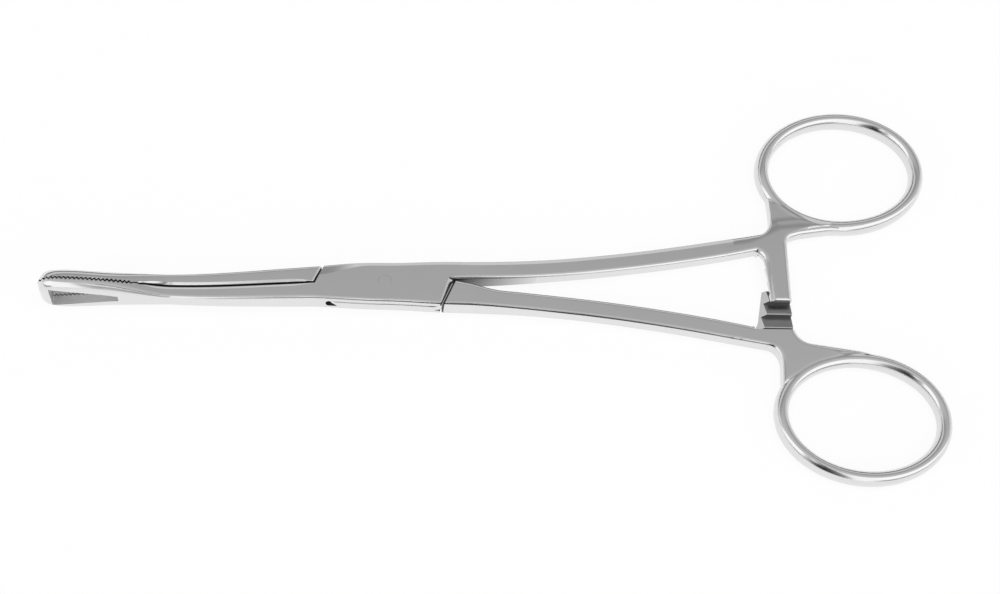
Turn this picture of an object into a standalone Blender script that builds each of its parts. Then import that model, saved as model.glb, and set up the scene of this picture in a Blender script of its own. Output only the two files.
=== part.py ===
"""Ring-handled locking clamp with a box lock and a small windowed, serrated head.

Two forgings cross in a box lock. The box half has the jaw on the -Y side and
the handle on the +Y side, and its two cheeks hold the thin tongue of the other
half between them. A pin through cheeks and tongue is the pivot. The jaws point
along -X and the finger rings along +X. The origin is on the pin's axis, at the
underside of the lock, and the clamp lies closed, as it does when it is locked.
"""
import math

import bmesh
import bpy
from mathutils import Matrix, Vector

MM = 0.001

# Box lock
LOCK_HALF_THICKNESS = 2.75 * MM
LOCK_HALF_WIDTH = 4.6 * MM
CHEEK_THICKNESS = 1.5 * MM
TONGUE_CLEARANCE = 0.15 * MM
JOINT_GAP = 0.3 * MM
SHOULDER_SLANT = math.radians(25)
JAW_SHOULDER = 15.1 * MM
HANDLE_SHOULDER = 14.8 * MM
HANDLE_SHOULDER_Y = 0.96 * MM
SLOT_END_SLANT = math.radians(36)
SLOT_END_NOTCH = 1.4 * MM
TONGUE_INSET = 0.1 * MM
SLOT_OVERCUT = 0.1 * MM
LOCK_BAND_WIDTH = 2.6 * MM
SHANK_ROOT_BLEND = 11 * MM
SHOULDER_BEVEL = 0.45 * MM
CHEEK_BEVEL_WIDTH = 0.9 * MM
CHEEK_BEVEL_DROP = 0.6 * MM
STEP_INSET = 0.02 * MM

# Pivot pin
PIN_RADIUS = 1.5 * MM
PIN_RUNNING_CLEARANCE = 0.07 * MM
PIN_SEAT_CLEARANCE = 0.03 * MM

# Jaws and their shafts
JAW_LENGTH = 74.0 * MM
JAW_LINE_OFFSET = 1.5 * MM
JAW_LINE_START = 4 * MM
JAW_LINE_END = 44 * MM
JAW_ROOT_THICKNESS = 3.77 * MM
JAW_RELIEF = 0.35 * MM
RELIEF_LENGTH = 5 * MM
NECK = 48 * MM
NECK_HALF_HEIGHT = 2.2 * MM

# Triangular head
HEAD_THICKNESS = 2.3 * MM
HEAD_TAPER_END = 60 * MM
HEAD_HALF_HEIGHT = 6.1 * MM
HEAD_FLARE = 0.6
HEAD_CORNER = 4.2 * MM
TIP_ROUNDING = 2.0 * MM
HEAD_EDGE = 1.5 * MM
WINDOW_TIP_RAIL = 2.5 * MM
WINDOW_LENGTH = 14.3 * MM
WINDOW_HALF_HEIGHT = 4.2 * MM
WINDOW_END_HALF_HEIGHT = 1.2 * MM
WINDOW_CORNER = 0.3 * MM
SERRATION_PITCH = 0.9 * MM
SERRATION_DEPTH = 0.42 * MM
SERRATION_COUNT = 22
JAW_GAP = 0.26 * MM

# Shanks
SHANK_HALF_WIDTH = 2.0 * MM
SHANK_END_HALF_WIDTH = 1.3 * MM
SHANK_HALF_THICKNESS = 1.95 * MM
SHANK_THINNING_LENGTH = 26 * MM
SHANK_ROOT_Y = 3.1 * MM
SHANK_BOW = 1.7
SHANK_EDGE_WIDTH = 0.8 * MM
SHANK_EDGE_DROP = 0.5 * MM
INNER_EDGE = 0.2 * MM
TONGUE_EDGE = 0.05 * MM
SHANK_CLEAR_OF_LOCK = 3 * MM

# Finger rings, measured on the centre line of their wire
RING_X = 104 * MM
RING_Y = 29.6 * MM
RING_HALF_LENGTH = 18.1 * MM
RING_HALF_WIDTH = 13.6 * MM
RING_SPLAY = math.radians(4)
RING_WIRE_HALF_WIDTH = 1.59 * MM
RING_WIRE_HALF_HEIGHT = 2.41 * MM
RING_JOINS_UPPER_WEB = math.radians(268)
RING_JOINS_LOWER_WEB = math.radians(288)
UPPER_CROTCH_END = math.radians(246)
LOWER_FLANGE_START = math.radians(269)
LOWER_FLANGE_END = math.radians(284)
RING_LEAVES_WEB = math.radians(218)
RING_MEETS_WEB = math.radians(203)

# Ratchet arms and the webs that carry them
ARM_BEFORE_RING = 13.7 * MM
UPPER_ARM_ROOT_WIDTH = 5.8 * MM
UPPER_ARM_TIP_WIDTH = 4.7 * MM
UPPER_ARM_REACH = 2.6 * MM
UPPER_CROTCH_OFFSET = 1.6 * MM
UPPER_CROTCH_FILLET = 2.2 * MM
LOWER_ARM_ROOT_WIDTH = 8.1 * MM
LOWER_ARM_TIP_WIDTH = 6.3 * MM
LOWER_ARM_REACH = 0.6 * MM
LOWER_CROTCH_OFFSET = -0.9 * MM
LOWER_CROTCH_FILLET = 4.0 * MM
LOWER_WEB_FLANGE = 0.5 * MM
ARM_FILLET = 2.6 * MM
ARM_EDGE = 0.35 * MM
ARM_TIP_CORNER = 0.6 * MM
RATCHET_WALL_Y = 9.6 * MM
RATCHET_NOTCH = 0.8 * MM
RATCHET_PITCH = 3.2 * MM
RATCHET_DEPTH = 0.9 * MM
RATCHET_STEEP_RUN = 0.25 * MM
RATCHET_CREST_WIDTH = 0.25 * MM
RATCHET_CLEARANCE = 0.15 * MM
RATCHET_CUT_PAST = 1 * MM
WEB_LENGTH = 20.2 * MM
WEB_OVERLAP = 0.25 * MM
WEB_CORNER_BACK = 3.2 * MM
WEB_CORNER_OFFSET = 1.5 * MM
WEB_FILLET = 4.4 * MM
SHANK_INTO_WEB = 2.8 * MM

# Resolution of the curved surfaces
CORNER_STEPS = 3
RING_STATIONS = 60
RING_STEPS = 16
PIN_SEGMENTS = 48

SLOT_HALF_HEIGHT = LOCK_HALF_THICKNESS - CHEEK_THICKNESS
TONGUE_HALF_HEIGHT = SLOT_HALF_HEIGHT - TONGUE_CLEARANCE
ARM_RIGHT = RING_X - ARM_BEFORE_RING
OUTSIDE = 8 * MM


def mix(start, end, share):
    return start + (end - start) * share


def ease(share):
    share = min(max(share, 0.0), 1.0)
    return share * share * (3 - 2 * share)


def jaw_line(x):
    """Y of the plane between the jaws: it bends towards the box half's side."""
    return -JAW_LINE_OFFSET * ease((-x - JAW_LINE_START) / (JAW_LINE_END - JAW_LINE_START))


def jaw_thickness(x):
    share = (-x - JAW_SHOULDER) / (HEAD_TAPER_END - JAW_SHOULDER)
    return mix(JAW_ROOT_THICKNESS, HEAD_THICKNESS, min(max(share, 0.0), 1.0))


def half_height(x):
    """Half the height of a jaw or of the lock, from the tip at -X to the handles."""
    if x > -JAW_SHOULDER:
        return LOCK_HALF_THICKNESS
    if x > -NECK:
        return mix(LOCK_HALF_THICKNESS, NECK_HALF_HEIGHT, ease((-x - JAW_SHOULDER) / (NECK - JAW_SHOULDER)))
    flare_end = JAW_LENGTH - HEAD_CORNER
    share = min((-x - NECK) / (flare_end - NECK), 1.0)
    height = mix(NECK_HALF_HEIGHT, HEAD_HALF_HEIGHT, ease(share ** HEAD_FLARE))
    into_corner = max(-x - flare_end, 0.0)
    return height - HEAD_CORNER + math.sqrt(max(HEAD_CORNER ** 2 - into_corner ** 2, 0.0))


def shank_share(x):
    return (x - HANDLE_SHOULDER) / (RING_X - HANDLE_SHOULDER)


def shank_centre(x):
    """Centre line of the +Y shank, which bows outwards to the ring."""
    end_y = RING_Y - RING_HALF_WIDTH
    return mix(SHANK_ROOT_Y, end_y, max(shank_share(x), 0.0) ** SHANK_BOW)


def shank_half_width(x):
    return mix(SHANK_HALF_WIDTH, SHANK_END_HALF_WIDTH, ease((x / RING_X - 0.7) / 0.3))


def shank_half_height(x):
    return mix(LOCK_HALF_THICKNESS, SHANK_HALF_THICKNESS, ease((x - HANDLE_SHOULDER) / SHANK_THINNING_LENGTH))


def outer_side(x, side):
    """Y of the outer edge of the closed clamp, from the tip to the shanks."""
    if x < -JAW_SHOULDER:
        rounding = max(x + JAW_LENGTH, 0.0)
        tip = TIP_ROUNDING - math.sqrt(max(TIP_ROUNDING ** 2 - max(TIP_ROUNDING - rounding, 0.0) ** 2, 0.0))
        return jaw_line(x) + side * (jaw_thickness(x) - tip)
    if x < 0:
        swell = math.sin((x + JAW_SHOULDER) / JAW_SHOULDER * math.pi / 2)
        return jaw_line(x) + side * mix(JAW_ROOT_THICKNESS, LOCK_HALF_WIDTH, swell)
    shank_edge = shank_centre(x) + shank_half_width(x)
    return side * mix(LOCK_HALF_WIDTH, shank_edge, ease(x / HANDLE_SHOULDER))


def on_slant(foot, side):
    """Where the slanted shoulder plane through foot meets the outer edge on one side."""
    x = foot.x
    for _ in range(30):
        x = foot.x + (outer_side(x, side) - foot.y) * math.tan(SHOULDER_SLANT)
    return Vector((x, outer_side(x, side)))


def station(low, high, height, low_edge, high_edge):
    """One cross section: its two ends in plan, its half height and its edge roundings."""
    return {"low": Vector(low), "high": Vector(high), "height": height, "low_edge": low_edge, "high_edge": high_edge}


def section_points(here):
    """The rounded rectangle of a station, as points in space."""
    width = (here["high"] - here["low"]).length
    across = (here["high"] - here["low"]) / width
    corners = [
        (width, 1, here["high_edge"], 0),
        (0.0, 1, here["low_edge"], 1),
        (0.0, -1, here["low_edge"], 2),
        (width, -1, here["high_edge"], 3),
    ]
    points = []
    for offset, up, (edge_width, edge_drop), quarter in corners:
        centre_s = offset - edge_width if offset else edge_width
        centre_z = up * (here["height"] - edge_drop)
        for step in range(CORNER_STEPS + 1):
            turn = (quarter + step / CORNER_STEPS) * math.pi / 2
            s = centre_s + edge_width * math.cos(turn)
            z = centre_z + edge_drop * math.sin(turn)
            plan = here["low"] + across * s
            points.append((plan.x, plan.y, z))
    return points


def loft(name, rings, closed=False):
    """A skin over equal rings of points, capped at its ends unless it closes on itself."""
    shape = bmesh.new()
    loops = [[shape.verts.new(point) for point in ring] for ring in rings]
    following = loops[1:] + loops[:1] if closed else loops[1:]
    for here, after in zip(loops, following):
        for k in range(len(here)):
            shape.faces.new((here[k - 1], here[k], after[k], after[k - 1]))
    if not closed:
        shape.faces.new(loops[0])
        shape.faces.new(reversed(loops[-1]))
    bmesh.ops.recalc_face_normals(shape, faces=shape.faces)
    mesh = bpy.data.meshes.new(name)
    shape.to_mesh(mesh)
    shape.free()
    return bpy.data.objects.new(name, mesh)


def rounded_outline(corners, steps=4):
    """A plan outline from (x, y, radius) corners, with an arc at each corner that has a radius."""
    outline = []
    for k, (x, y, radius) in enumerate(corners):
        here = Vector((x, y))
        if radius == 0:
            outline.append(here)
            continue
        before = (Vector(corners[k - 1][:2]) - here).normalized()
        after = (Vector(corners[(k + 1) % len(corners)][:2]) - here).normalized()
        half_angle = before.angle(after) / 2
        centre = here + (before + after).normalized() * radius / math.sin(half_angle)
        first = here + before * radius / math.tan(half_angle) - centre
        last = here + after * radius / math.tan(half_angle) - centre
        sweep = first.angle_signed(last)
        for step in range(steps + 1):
            turn = -sweep * step / steps
            outline.append(centre + Matrix.Rotation(turn, 2) @ first)
    return outline


def plate(name, outline, half_thickness, bevel=0.0, turned=Matrix.Identity(4)):
    """A flat outline with thickness along Z, made from a filled curve and turned into place."""
    curve = bpy.data.curves.new(name, "CURVE")
    curve.dimensions = "2D"
    curve.fill_mode = "BOTH"
    curve.extrude = half_thickness - bevel
    curve.bevel_depth = bevel
    curve.bevel_resolution = 1
    curve.offset = -bevel
    spline = curve.splines.new("POLY")
    spline.points.add(len(outline) - 1)
    for point, place in zip(spline.points, outline):
        point.co = (place[0], place[1], 0, 1)
    spline.use_cyclic_u = True
    drawn = bpy.data.objects.new(name + "_outline", curve)
    bpy.context.scene.collection.objects.link(drawn)
    bpy.context.view_layer.update()
    mesh = bpy.data.meshes.new_from_object(drawn.evaluated_get(bpy.context.evaluated_depsgraph_get()))
    bpy.data.objects.remove(drawn)
    bpy.data.curves.remove(curve)
    shape = bmesh.new()
    shape.from_mesh(mesh)
    bmesh.ops.remove_doubles(shape, verts=shape.verts, dist=0.001 * MM)
    bmesh.ops.transform(shape, matrix=turned, verts=shape.verts)
    bmesh.ops.recalc_face_normals(shape, faces=shape.faces)
    shape.to_mesh(mesh)
    shape.free()
    return bpy.data.objects.new(name, mesh)


def cylinder(name, radius, depth):
    shape = bmesh.new()
    bmesh.ops.create_cone(
        shape, cap_ends=True, segments=PIN_SEGMENTS, radius1=radius, radius2=radius, depth=depth
    )
    mesh = bpy.data.meshes.new(name)
    shape.to_mesh(mesh)
    shape.free()
    return bpy.data.objects.new(name, mesh)


def boolean(body, other, operation):
    step = body.modifiers.new(other.name, "BOOLEAN")
    step.operation = operation
    step.solver = "EXACT"
    step.object = other


def jaw_stations(side):
    """Stations of one jaw from its tip to near its shoulder; side is +1 for the jaw on +Y."""
    inner_edge = (INNER_EDGE, INNER_EDGE)
    corner_places = [0.0, 0.06, 0.2, 0.42, 0.7, 1.0]
    places = [-JAW_LENGTH + HEAD_CORNER * share for share in corner_places]
    head_rest = JAW_LENGTH - HEAD_CORNER - NECK
    places += [-NECK - head_rest * (1 - k / 9) for k in range(1, 10)]
    shaft = NECK - JAW_SHOULDER
    places += [-NECK + shaft * share for share in (0.12, 0.3, 0.5, 0.7, 0.86)]
    serrated_to = -JAW_LENGTH + (SERRATION_COUNT + 1) * SERRATION_PITCH
    stations = []
    for x in places:
        if x < serrated_to:
            inner = jaw_line(x) - side * (SERRATION_DEPTH / 2 + JAW_GAP)
        else:
            ends = min(x - serrated_to, -JAW_SHOULDER - x) / RELIEF_LENGTH
            inner = jaw_line(x) + side * mix(JAW_GAP / 2, JAW_RELIEF, ease(ends))
        share = ease((-x - NECK) / (HEAD_TAPER_END - NECK))
        outer = outer_side(x, side)
        room = abs(outer - inner) - 1.5 * INNER_EDGE
        outer_edge = (
            min(mix(SHANK_EDGE_WIDTH, HEAD_EDGE, share), room),
            mix(SHANK_EDGE_DROP, HEAD_EDGE, share),
        )
        if side > 0:
            stations.append(station((x, inner), (x, outer), half_height(x), inner_edge, outer_edge))
        else:
            stations.append(station((x, outer), (x, inner), half_height(x), outer_edge, inner_edge))
    return stations


def shank_stations(start, root_shift):
    """Stations of the +Y shank from start to its end inside the web.

    root_shift moves the inner edge at the root, towards the other shank.
    """
    stations = []
    count = 12
    for k in range(count + 1):
        x = mix(start, ARM_RIGHT - SHANK_INTO_WEB, k / count)
        slope = (shank_centre(x + SHANK_HALF_WIDTH) - shank_centre(x - SHANK_HALF_WIDTH)) / (2 * SHANK_HALF_WIDTH)
        normal = Vector((-slope, 1)).normalized()
        centre = Vector((x, shank_centre(x)))
        half = shank_half_width(x)
        low = centre - normal * half
        low.y -= root_shift * (1 - ease((x - HANDLE_SHOULDER) / SHANK_ROOT_BLEND))
        edge = (SHANK_EDGE_WIDTH, SHANK_EDGE_DROP)
        stations.append(station(low, centre + normal * half, shank_half_height(x), edge, edge))
    return stations


def mirrored(stations):
    """The same stations on the other side of the XZ plane."""
    turned = []
    for here in stations:
        low = Vector((here["high"].x, -here["high"].y))
        high = Vector((here["low"].x, -here["low"].y))
        turned.append(station(low, high, here["height"], here["high_edge"], here["low_edge"]))
    return turned


def finger_ring(name, side):
    """An oval wire bent into a closed ellipse, splayed outwards at its far end."""
    rings = []
    for k in range(RING_STATIONS):
        turn = 2 * math.pi * k / RING_STATIONS
        ring = []
        for step in range(RING_STEPS):
            angle = 2 * math.pi * (step + 0.5) / RING_STEPS
            reach = RING_WIRE_HALF_WIDTH * math.copysign(abs(math.cos(angle)) ** 0.85, math.cos(angle))
            z = RING_WIRE_HALF_HEIGHT * math.copysign(abs(math.sin(angle)) ** 0.85, math.sin(angle))
            place = ring_edge(turn, reach)
            ring.append((place.x, side * place.y, z))
        rings.append(ring)
    return loft(name, rings, closed=True)


def ring_edge(turn, offset):
    """A point beside the ring's centre line, offset outwards, on the +Y half."""
    plan = Vector((RING_HALF_LENGTH * math.cos(turn), RING_HALF_WIDTH * math.sin(turn)))
    outwards = Vector((plan.x / RING_HALF_LENGTH ** 2, plan.y / RING_HALF_WIDTH ** 2)).normalized()
    splayed = Matrix.Rotation(RING_SPLAY, 2) @ (plan + outwards * offset)
    return Vector((RING_X + splayed.x, RING_Y + splayed.y))


def web_outline(arm, wire_start, crotch_end):
    """Corners of the +Y web and its ratchet arm; crotch_end lists where the web meets the ring."""
    before_web = ARM_RIGHT - WEB_LENGTH
    root_left = ARM_RIGHT - arm["root_width"]
    before_root = root_left - 2 * ARM_FILLET
    corner_x = ARM_RIGHT - WEB_CORNER_BACK
    corners = [
        (before_web, shank_centre(before_web) - shank_half_width(before_web) + WEB_OVERLAP, 0),
        (before_root, shank_centre(before_root) - shank_half_width(before_root) + WEB_OVERLAP, 0),
        (root_left, shank_centre(root_left) - shank_half_width(root_left), ARM_FILLET),
        (ARM_RIGHT - arm["tip_width"], -arm["reach"], ARM_TIP_CORNER),
        (ARM_RIGHT, -arm["reach"], ARM_TIP_CORNER),
        (ARM_RIGHT, shank_centre(ARM_RIGHT) + arm["crotch_offset"], arm["crotch_fillet"]),
    ]
    corners += [(place.x, place.y, 0) for place in crotch_end]
    for k in range(5):
        place = ring_edge(mix(wire_start, RING_LEAVES_WEB, k / 4), 0.0)
        corners.append((place.x, place.y, 0))
    meets = ring_edge(RING_MEETS_WEB, RING_WIRE_HALF_WIDTH - WEB_OVERLAP)
    corners.append((meets.x, meets.y, 0))
    corners.append((corner_x, shank_centre(corner_x) + WEB_CORNER_OFFSET, WEB_FILLET))
    corners.append((before_web, shank_centre(before_web) + shank_half_width(before_web) - WEB_OVERLAP, 0))
    return rounded_outline(corners)


def web_with_arm(name, side, arm):
    """The flat web between shank and ring, with the ratchet arm that reaches across.

    The lower half's web also runs on beside the ring as a narrow flange.
    """
    if side > 0:
        outline = web_outline(arm, RING_JOINS_UPPER_WEB, [ring_edge(UPPER_CROTCH_END, RING_WIRE_HALF_WIDTH)])
    else:
        flange = ring_edge(LOWER_FLANGE_START, RING_WIRE_HALF_WIDTH + LOWER_WEB_FLANGE)
        end = ring_edge(LOWER_FLANGE_END, RING_WIRE_HALF_WIDTH)
        outline = web_outline(arm, RING_JOINS_LOWER_WEB, [flange, end])
    outline = [Vector((place.x, side * place.y)) for place in outline]
    return plate(name, outline, SHANK_HALF_THICKNESS - STEP_INSET, bevel=ARM_EDGE)


def ratchet_cutter(name, side, arm):
    """Takes half of the arm's thickness away and leaves the sawtooth on the other half.

    side +1 cuts the underside of the +Y half's arm, side -1 the top of the other one.
    The steep flank of each tooth looks back at its own shank.
    """
    crest = side * RATCHET_CLEARANCE / 2
    root = side * (RATCHET_CLEARANCE / 2 + RATCHET_DEPTH)
    far = -side * OUTSIDE
    first_tooth = RATCHET_WALL_Y - RATCHET_NOTCH
    count = math.ceil((first_tooth + arm["reach"]) / RATCHET_PITCH)
    profile = [(side * RATCHET_WALL_Y, far), (side * RATCHET_WALL_Y, root)]
    for k in range(count):
        valley = first_tooth - k * RATCHET_PITCH
        profile.append((side * valley, root))
        profile.append((side * (valley - RATCHET_STEEP_RUN), crest))
        profile.append((side * (valley - RATCHET_STEEP_RUN - RATCHET_CREST_WIDTH), crest))
    past_tip = first_tooth - count * RATCHET_PITCH
    profile += [(side * past_tip, root), (side * past_tip, far)]
    half_span = arm["root_width"] / 2
    along_x = Matrix(((0, 0, 1, ARM_RIGHT - half_span), (1, 0, 0, 0), (0, 1, 0, 0), (0, 0, 0, 1)))
    return plate(name, profile, half_span + RATCHET_CUT_PAST, turned=along_x)


def serration_cutter(name, side):
    """Cuts the face of one jaw to its cross serrations; side is +1 for the jaw on +Y."""
    edge = []
    for k in range(-2, 2 * SERRATION_COUNT + 1):
        x = -JAW_LENGTH + k * SERRATION_PITCH / 2
        tooth = SERRATION_DEPTH / 2 if k % 2 else -SERRATION_DEPTH / 2
        edge.append((x, jaw_line(x) + tooth + side * JAW_GAP / 2))
    for past in (0.5, 3.0):
        x = -JAW_LENGTH + (SERRATION_COUNT + past) * SERRATION_PITCH
        edge.append((x, jaw_line(x) + side * JAW_GAP / 2))
    beyond = -side * OUTSIDE
    outline = edge + [(edge[-1][0], beyond), (edge[0][0], beyond)]
    return plate(name, outline, OUTSIDE)


def window_cutter(name):
    """The triangular hole that the needle goes through, wide at the tip and narrow at the shaft."""
    tip_end = -JAW_LENGTH + WINDOW_TIP_RAIL
    shaft_end = tip_end + WINDOW_LENGTH
    corners = [
        (tip_end, -WINDOW_HALF_HEIGHT, WINDOW_CORNER),
        (shaft_end, -WINDOW_END_HALF_HEIGHT, WINDOW_CORNER),
        (shaft_end, WINDOW_END_HALF_HEIGHT, WINDOW_CORNER),
        (tip_end, WINDOW_HALF_HEIGHT, WINDOW_CORNER),
    ]
    along_y = Matrix(((1, 0, 0, 0), (0, 0, 1, 0), (0, 1, 0, 0), (0, 0, 0, 1)))
    return plate(name, rounded_outline(corners, steps=2), OUTSIDE, turned=along_y)


def slot_cutter(name, jaw_foot, handle_foot):
    """The slot between the cheeks, open to both sides, with a slanted solid end at each jaw."""
    nudge = Vector((-SLOT_OVERCUT, SLOT_OVERCUT))
    jaw_corner = jaw_foot + nudge
    handle_corner = handle_foot - nudge
    reach = math.tan(SLOT_END_SLANT)
    outline = [
        jaw_corner,
        (jaw_corner.x + (jaw_corner.y + OUTSIDE) * reach, -OUTSIDE),
        (HANDLE_SHOULDER + OUTSIDE, -OUTSIDE),
        (HANDLE_SHOULDER + OUTSIDE, handle_corner.y - JOINT_GAP),
        handle_corner,
        (handle_corner.x - (OUTSIDE - handle_corner.y) * reach, OUTSIDE),
        (-JAW_SHOULDER - OUTSIDE, OUTSIDE),
        (-JAW_SHOULDER - OUTSIDE, jaw_corner.y + JOINT_GAP),
    ]
    return plate(name, outline, SLOT_HALF_HEIGHT)


def cheek_bevel_cutter(name, foot, up):
    """The wedge ground off the handle end of a cheek; up is +1 for the top cheek."""
    width = CHEEK_BEVEL_WIDTH
    drop = CHEEK_BEVEL_DROP
    top = LOCK_HALF_THICKNESS
    profile = [
        (-1.5 * width, up * (top + 0.5 * drop)),
        (0.5 * width, up * (top - 1.5 * drop)),
        (0.5 * width, up * (top + 0.5 * drop)),
    ]
    along = Vector((math.sin(SHOULDER_SLANT), math.cos(SHOULDER_SLANT)))
    normal = Vector((along.y, -along.x))
    front = on_slant(foot, -1)
    length = (foot - front).length + CHEEK_BEVEL_WIDTH
    middle = foot - along * (length / 2 + STEP_INSET * 5)
    placed = Matrix((
        (normal.x, 0, along.x, middle.x),
        (normal.y, 0, along.y, middle.y),
        (0, 1, 0, 0),
        (0, 0, 0, 1),
    ))
    return plate(name, profile, length / 2, turned=placed)


def box_spine(name, jaw_foot, handle_foot):
    """The -Y jaw, the solid lock and the +Y shank of the box half, in one skin."""
    across = Vector((math.sin(SHOULDER_SLANT), math.cos(SHOULDER_SLANT)))
    edge = (SHANK_EDGE_WIDTH, SHANK_EDGE_DROP)
    fine = (INNER_EDGE, INNER_EDGE)
    inset = across * STEP_INSET
    stations = jaw_stations(-1)
    jaw_low = on_slant(jaw_foot, -1)
    jaw_high = on_slant(jaw_foot, 1)
    handle_low = on_slant(handle_foot, -1)
    handle_high = on_slant(handle_foot, 1)
    height = LOCK_HALF_THICKNESS
    stations.append(station(jaw_low + inset, jaw_foot, height - STEP_INSET, edge, fine))
    for share in (0.0, 0.05, 0.12, 0.22, 0.34, 0.46, 0.6, 0.74, 0.88, 1.0):
        low_x = mix(jaw_low.x, handle_low.x, share)
        high_x = mix(jaw_high.x, handle_high.x, share)
        low = (low_x, outer_side(low_x, -1))
        high = (high_x, outer_side(high_x, 1))
        band = mix(LOCK_BAND_WIDTH, SHANK_EDGE_WIDTH, ease(share * 3))
        stations.append(station(low, high, height, edge, (band, SHANK_EDGE_DROP)))
    stations.append(station(handle_foot, handle_high - inset, height - STEP_INSET, edge, edge))
    stations += shank_stations(handle_high.x + SHANK_CLEAR_OF_LOCK, 0.0)
    return loft(name, [section_points(here) for here in stations])


def tongue_spine(name, jaw_foot, handle_foot):
    """The +Y jaw, the thin tongue and the -Y shank of the other half, in one skin."""
    across = Vector((math.sin(SHOULDER_SLANT), math.cos(SHOULDER_SLANT)))
    back = Vector((across.y, -across.x))
    edge = (SHANK_EDGE_WIDTH, SHANK_EDGE_DROP)
    fine = (INNER_EDGE, INNER_EDGE)
    thin = (TONGUE_EDGE, TONGUE_EDGE)
    height = LOCK_HALF_THICKNESS
    bevelled = height - SHOULDER_BEVEL * 0.7
    gap = JOINT_GAP / math.cos(SHOULDER_SLANT)
    jaw_end = Vector((jaw_foot.x - gap, jaw_foot.y + JAW_GAP))
    handle_end = Vector((handle_foot.x + gap, handle_foot.y - JOINT_GAP))
    bevel_x = Vector((SHOULDER_BEVEL, 0))
    stations = jaw_stations(1)
    stations.append(station(jaw_end - bevel_x, on_slant(jaw_end - bevel_x, 1), height, fine, edge))
    ground = across * SHOULDER_BEVEL * 0.4
    high = on_slant(jaw_end, 1)
    stations.append(station(jaw_end, high - ground, bevelled, fine, edge))
    inside = across * SHOULDER_BEVEL * 0.8
    tongue = TONGUE_HALF_HEIGHT
    stations.append(station(jaw_end + across * TONGUE_INSET, high - inside, tongue, thin, thin))
    for low, high in tongue_plan(jaw_foot, handle_foot):
        stations.append(station(low, high, tongue, thin, thin))
    low = on_slant(handle_end, -1)
    stations.append(station(low + inside, handle_end - across * TONGUE_INSET, tongue, thin, thin))
    stations.append(station(low + ground, handle_end, bevelled, edge, edge))
    shifted = handle_end + bevel_x
    stations.append(station(on_slant(shifted, -1), shifted, height, edge, edge))
    root_shift = handle_end.y + SHANK_ROOT_Y - SHANK_HALF_WIDTH
    stations += mirrored(shank_stations(shifted.x + SHANK_CLEAR_OF_LOCK, root_shift))
    return loft(name, [section_points(here) for here in stations])


def tongue_plan(jaw_foot, handle_foot):
    """Low and high plan points along the tongue, clear of the slot's two slanted ends."""
    reach = math.tan(SLOT_END_SLANT)
    gap = JOINT_GAP / math.cos(SLOT_END_SLANT)
    front_x = jaw_foot.x + gap + (jaw_foot.y - outer_side(jaw_foot.x, -1)) * reach + SLOT_END_NOTCH
    back_x = handle_foot.x - gap - (outer_side(handle_foot.x, 1) - handle_foot.y) * reach - SLOT_END_NOTCH
    lows = [Vector((jaw_foot.x + gap, jaw_foot.y + JAW_GAP / 2))]
    highs = [rim(mix(jaw_foot.x, 0, 0.16), 1)]
    lows.append((lows[0] + rim(front_x, -1)) / 2)
    highs.append(rim(mix(jaw_foot.x, 0, 0.32), 1))
    lows.append(rim(front_x, -1))
    highs.append(rim(mix(jaw_foot.x, 0, 0.5), 1))
    for share in (0.3, 0.5, 0.7):
        lows.append(rim(mix(front_x, handle_foot.x, share), -1))
        highs.append(rim(mix(jaw_foot.x, back_x, share), 1))
    last_high = Vector((handle_foot.x - gap, handle_foot.y - JOINT_GAP / 2))
    lows.append(rim(mix(handle_foot.x, 0, 0.5), -1))
    highs.append(rim(back_x, 1))
    lows.append(rim(mix(handle_foot.x, 0, 0.38), -1))
    highs.append((last_high + rim(back_x, 1)) / 2)
    lows.append(rim(mix(handle_foot.x, 0, 0.27), -1))
    highs.append(last_high)
    return list(zip(lows, highs))


def rim(x, side):
    """A point just inside the lock's outer edge, where the tongue's side runs."""
    return Vector((x, outer_side(x, side) - side * TONGUE_INSET))


def steel(name, colour, roughness):
    material = bpy.data.materials.new(name)
    material.use_nodes = True
    shader = material.node_tree.nodes["Principled BSDF"]
    shader.inputs["Base Color"].default_value = (*colour, 1)
    shader.inputs["Metallic"].default_value = 1.0
    shader.inputs["Roughness"].default_value = roughness
    return material


def shade(piece, material):
    piece.data.materials.clear()
    piece.data.materials.append(material)
    piece.data.shade_smooth()
    piece.data.set_sharp_from_angle(angle=math.radians(35))


def file_away(pieces, cutters):
    """Puts the pieces and the hidden cutters in their collections, on one pivot empty."""
    pivot = bpy.data.objects.new("pivot_axis", None)
    pivot.location = (0, 0, LOCK_HALF_THICKNESS)
    shown = bpy.data.collections.new("piercing_clamp")
    hidden = bpy.data.collections.new("cutters")
    bpy.context.scene.collection.children.link(shown)
    bpy.context.scene.collection.children.link(hidden)
    shown.objects.link(pivot)
    for piece in pieces:
        shown.objects.link(piece)
        piece.parent = pivot
    for cutter in cutters:
        hidden.objects.link(cutter)
        cutter.parent = pivot
        cutter.hide_render = True
        cutter.display_type = "WIRE"


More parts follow.
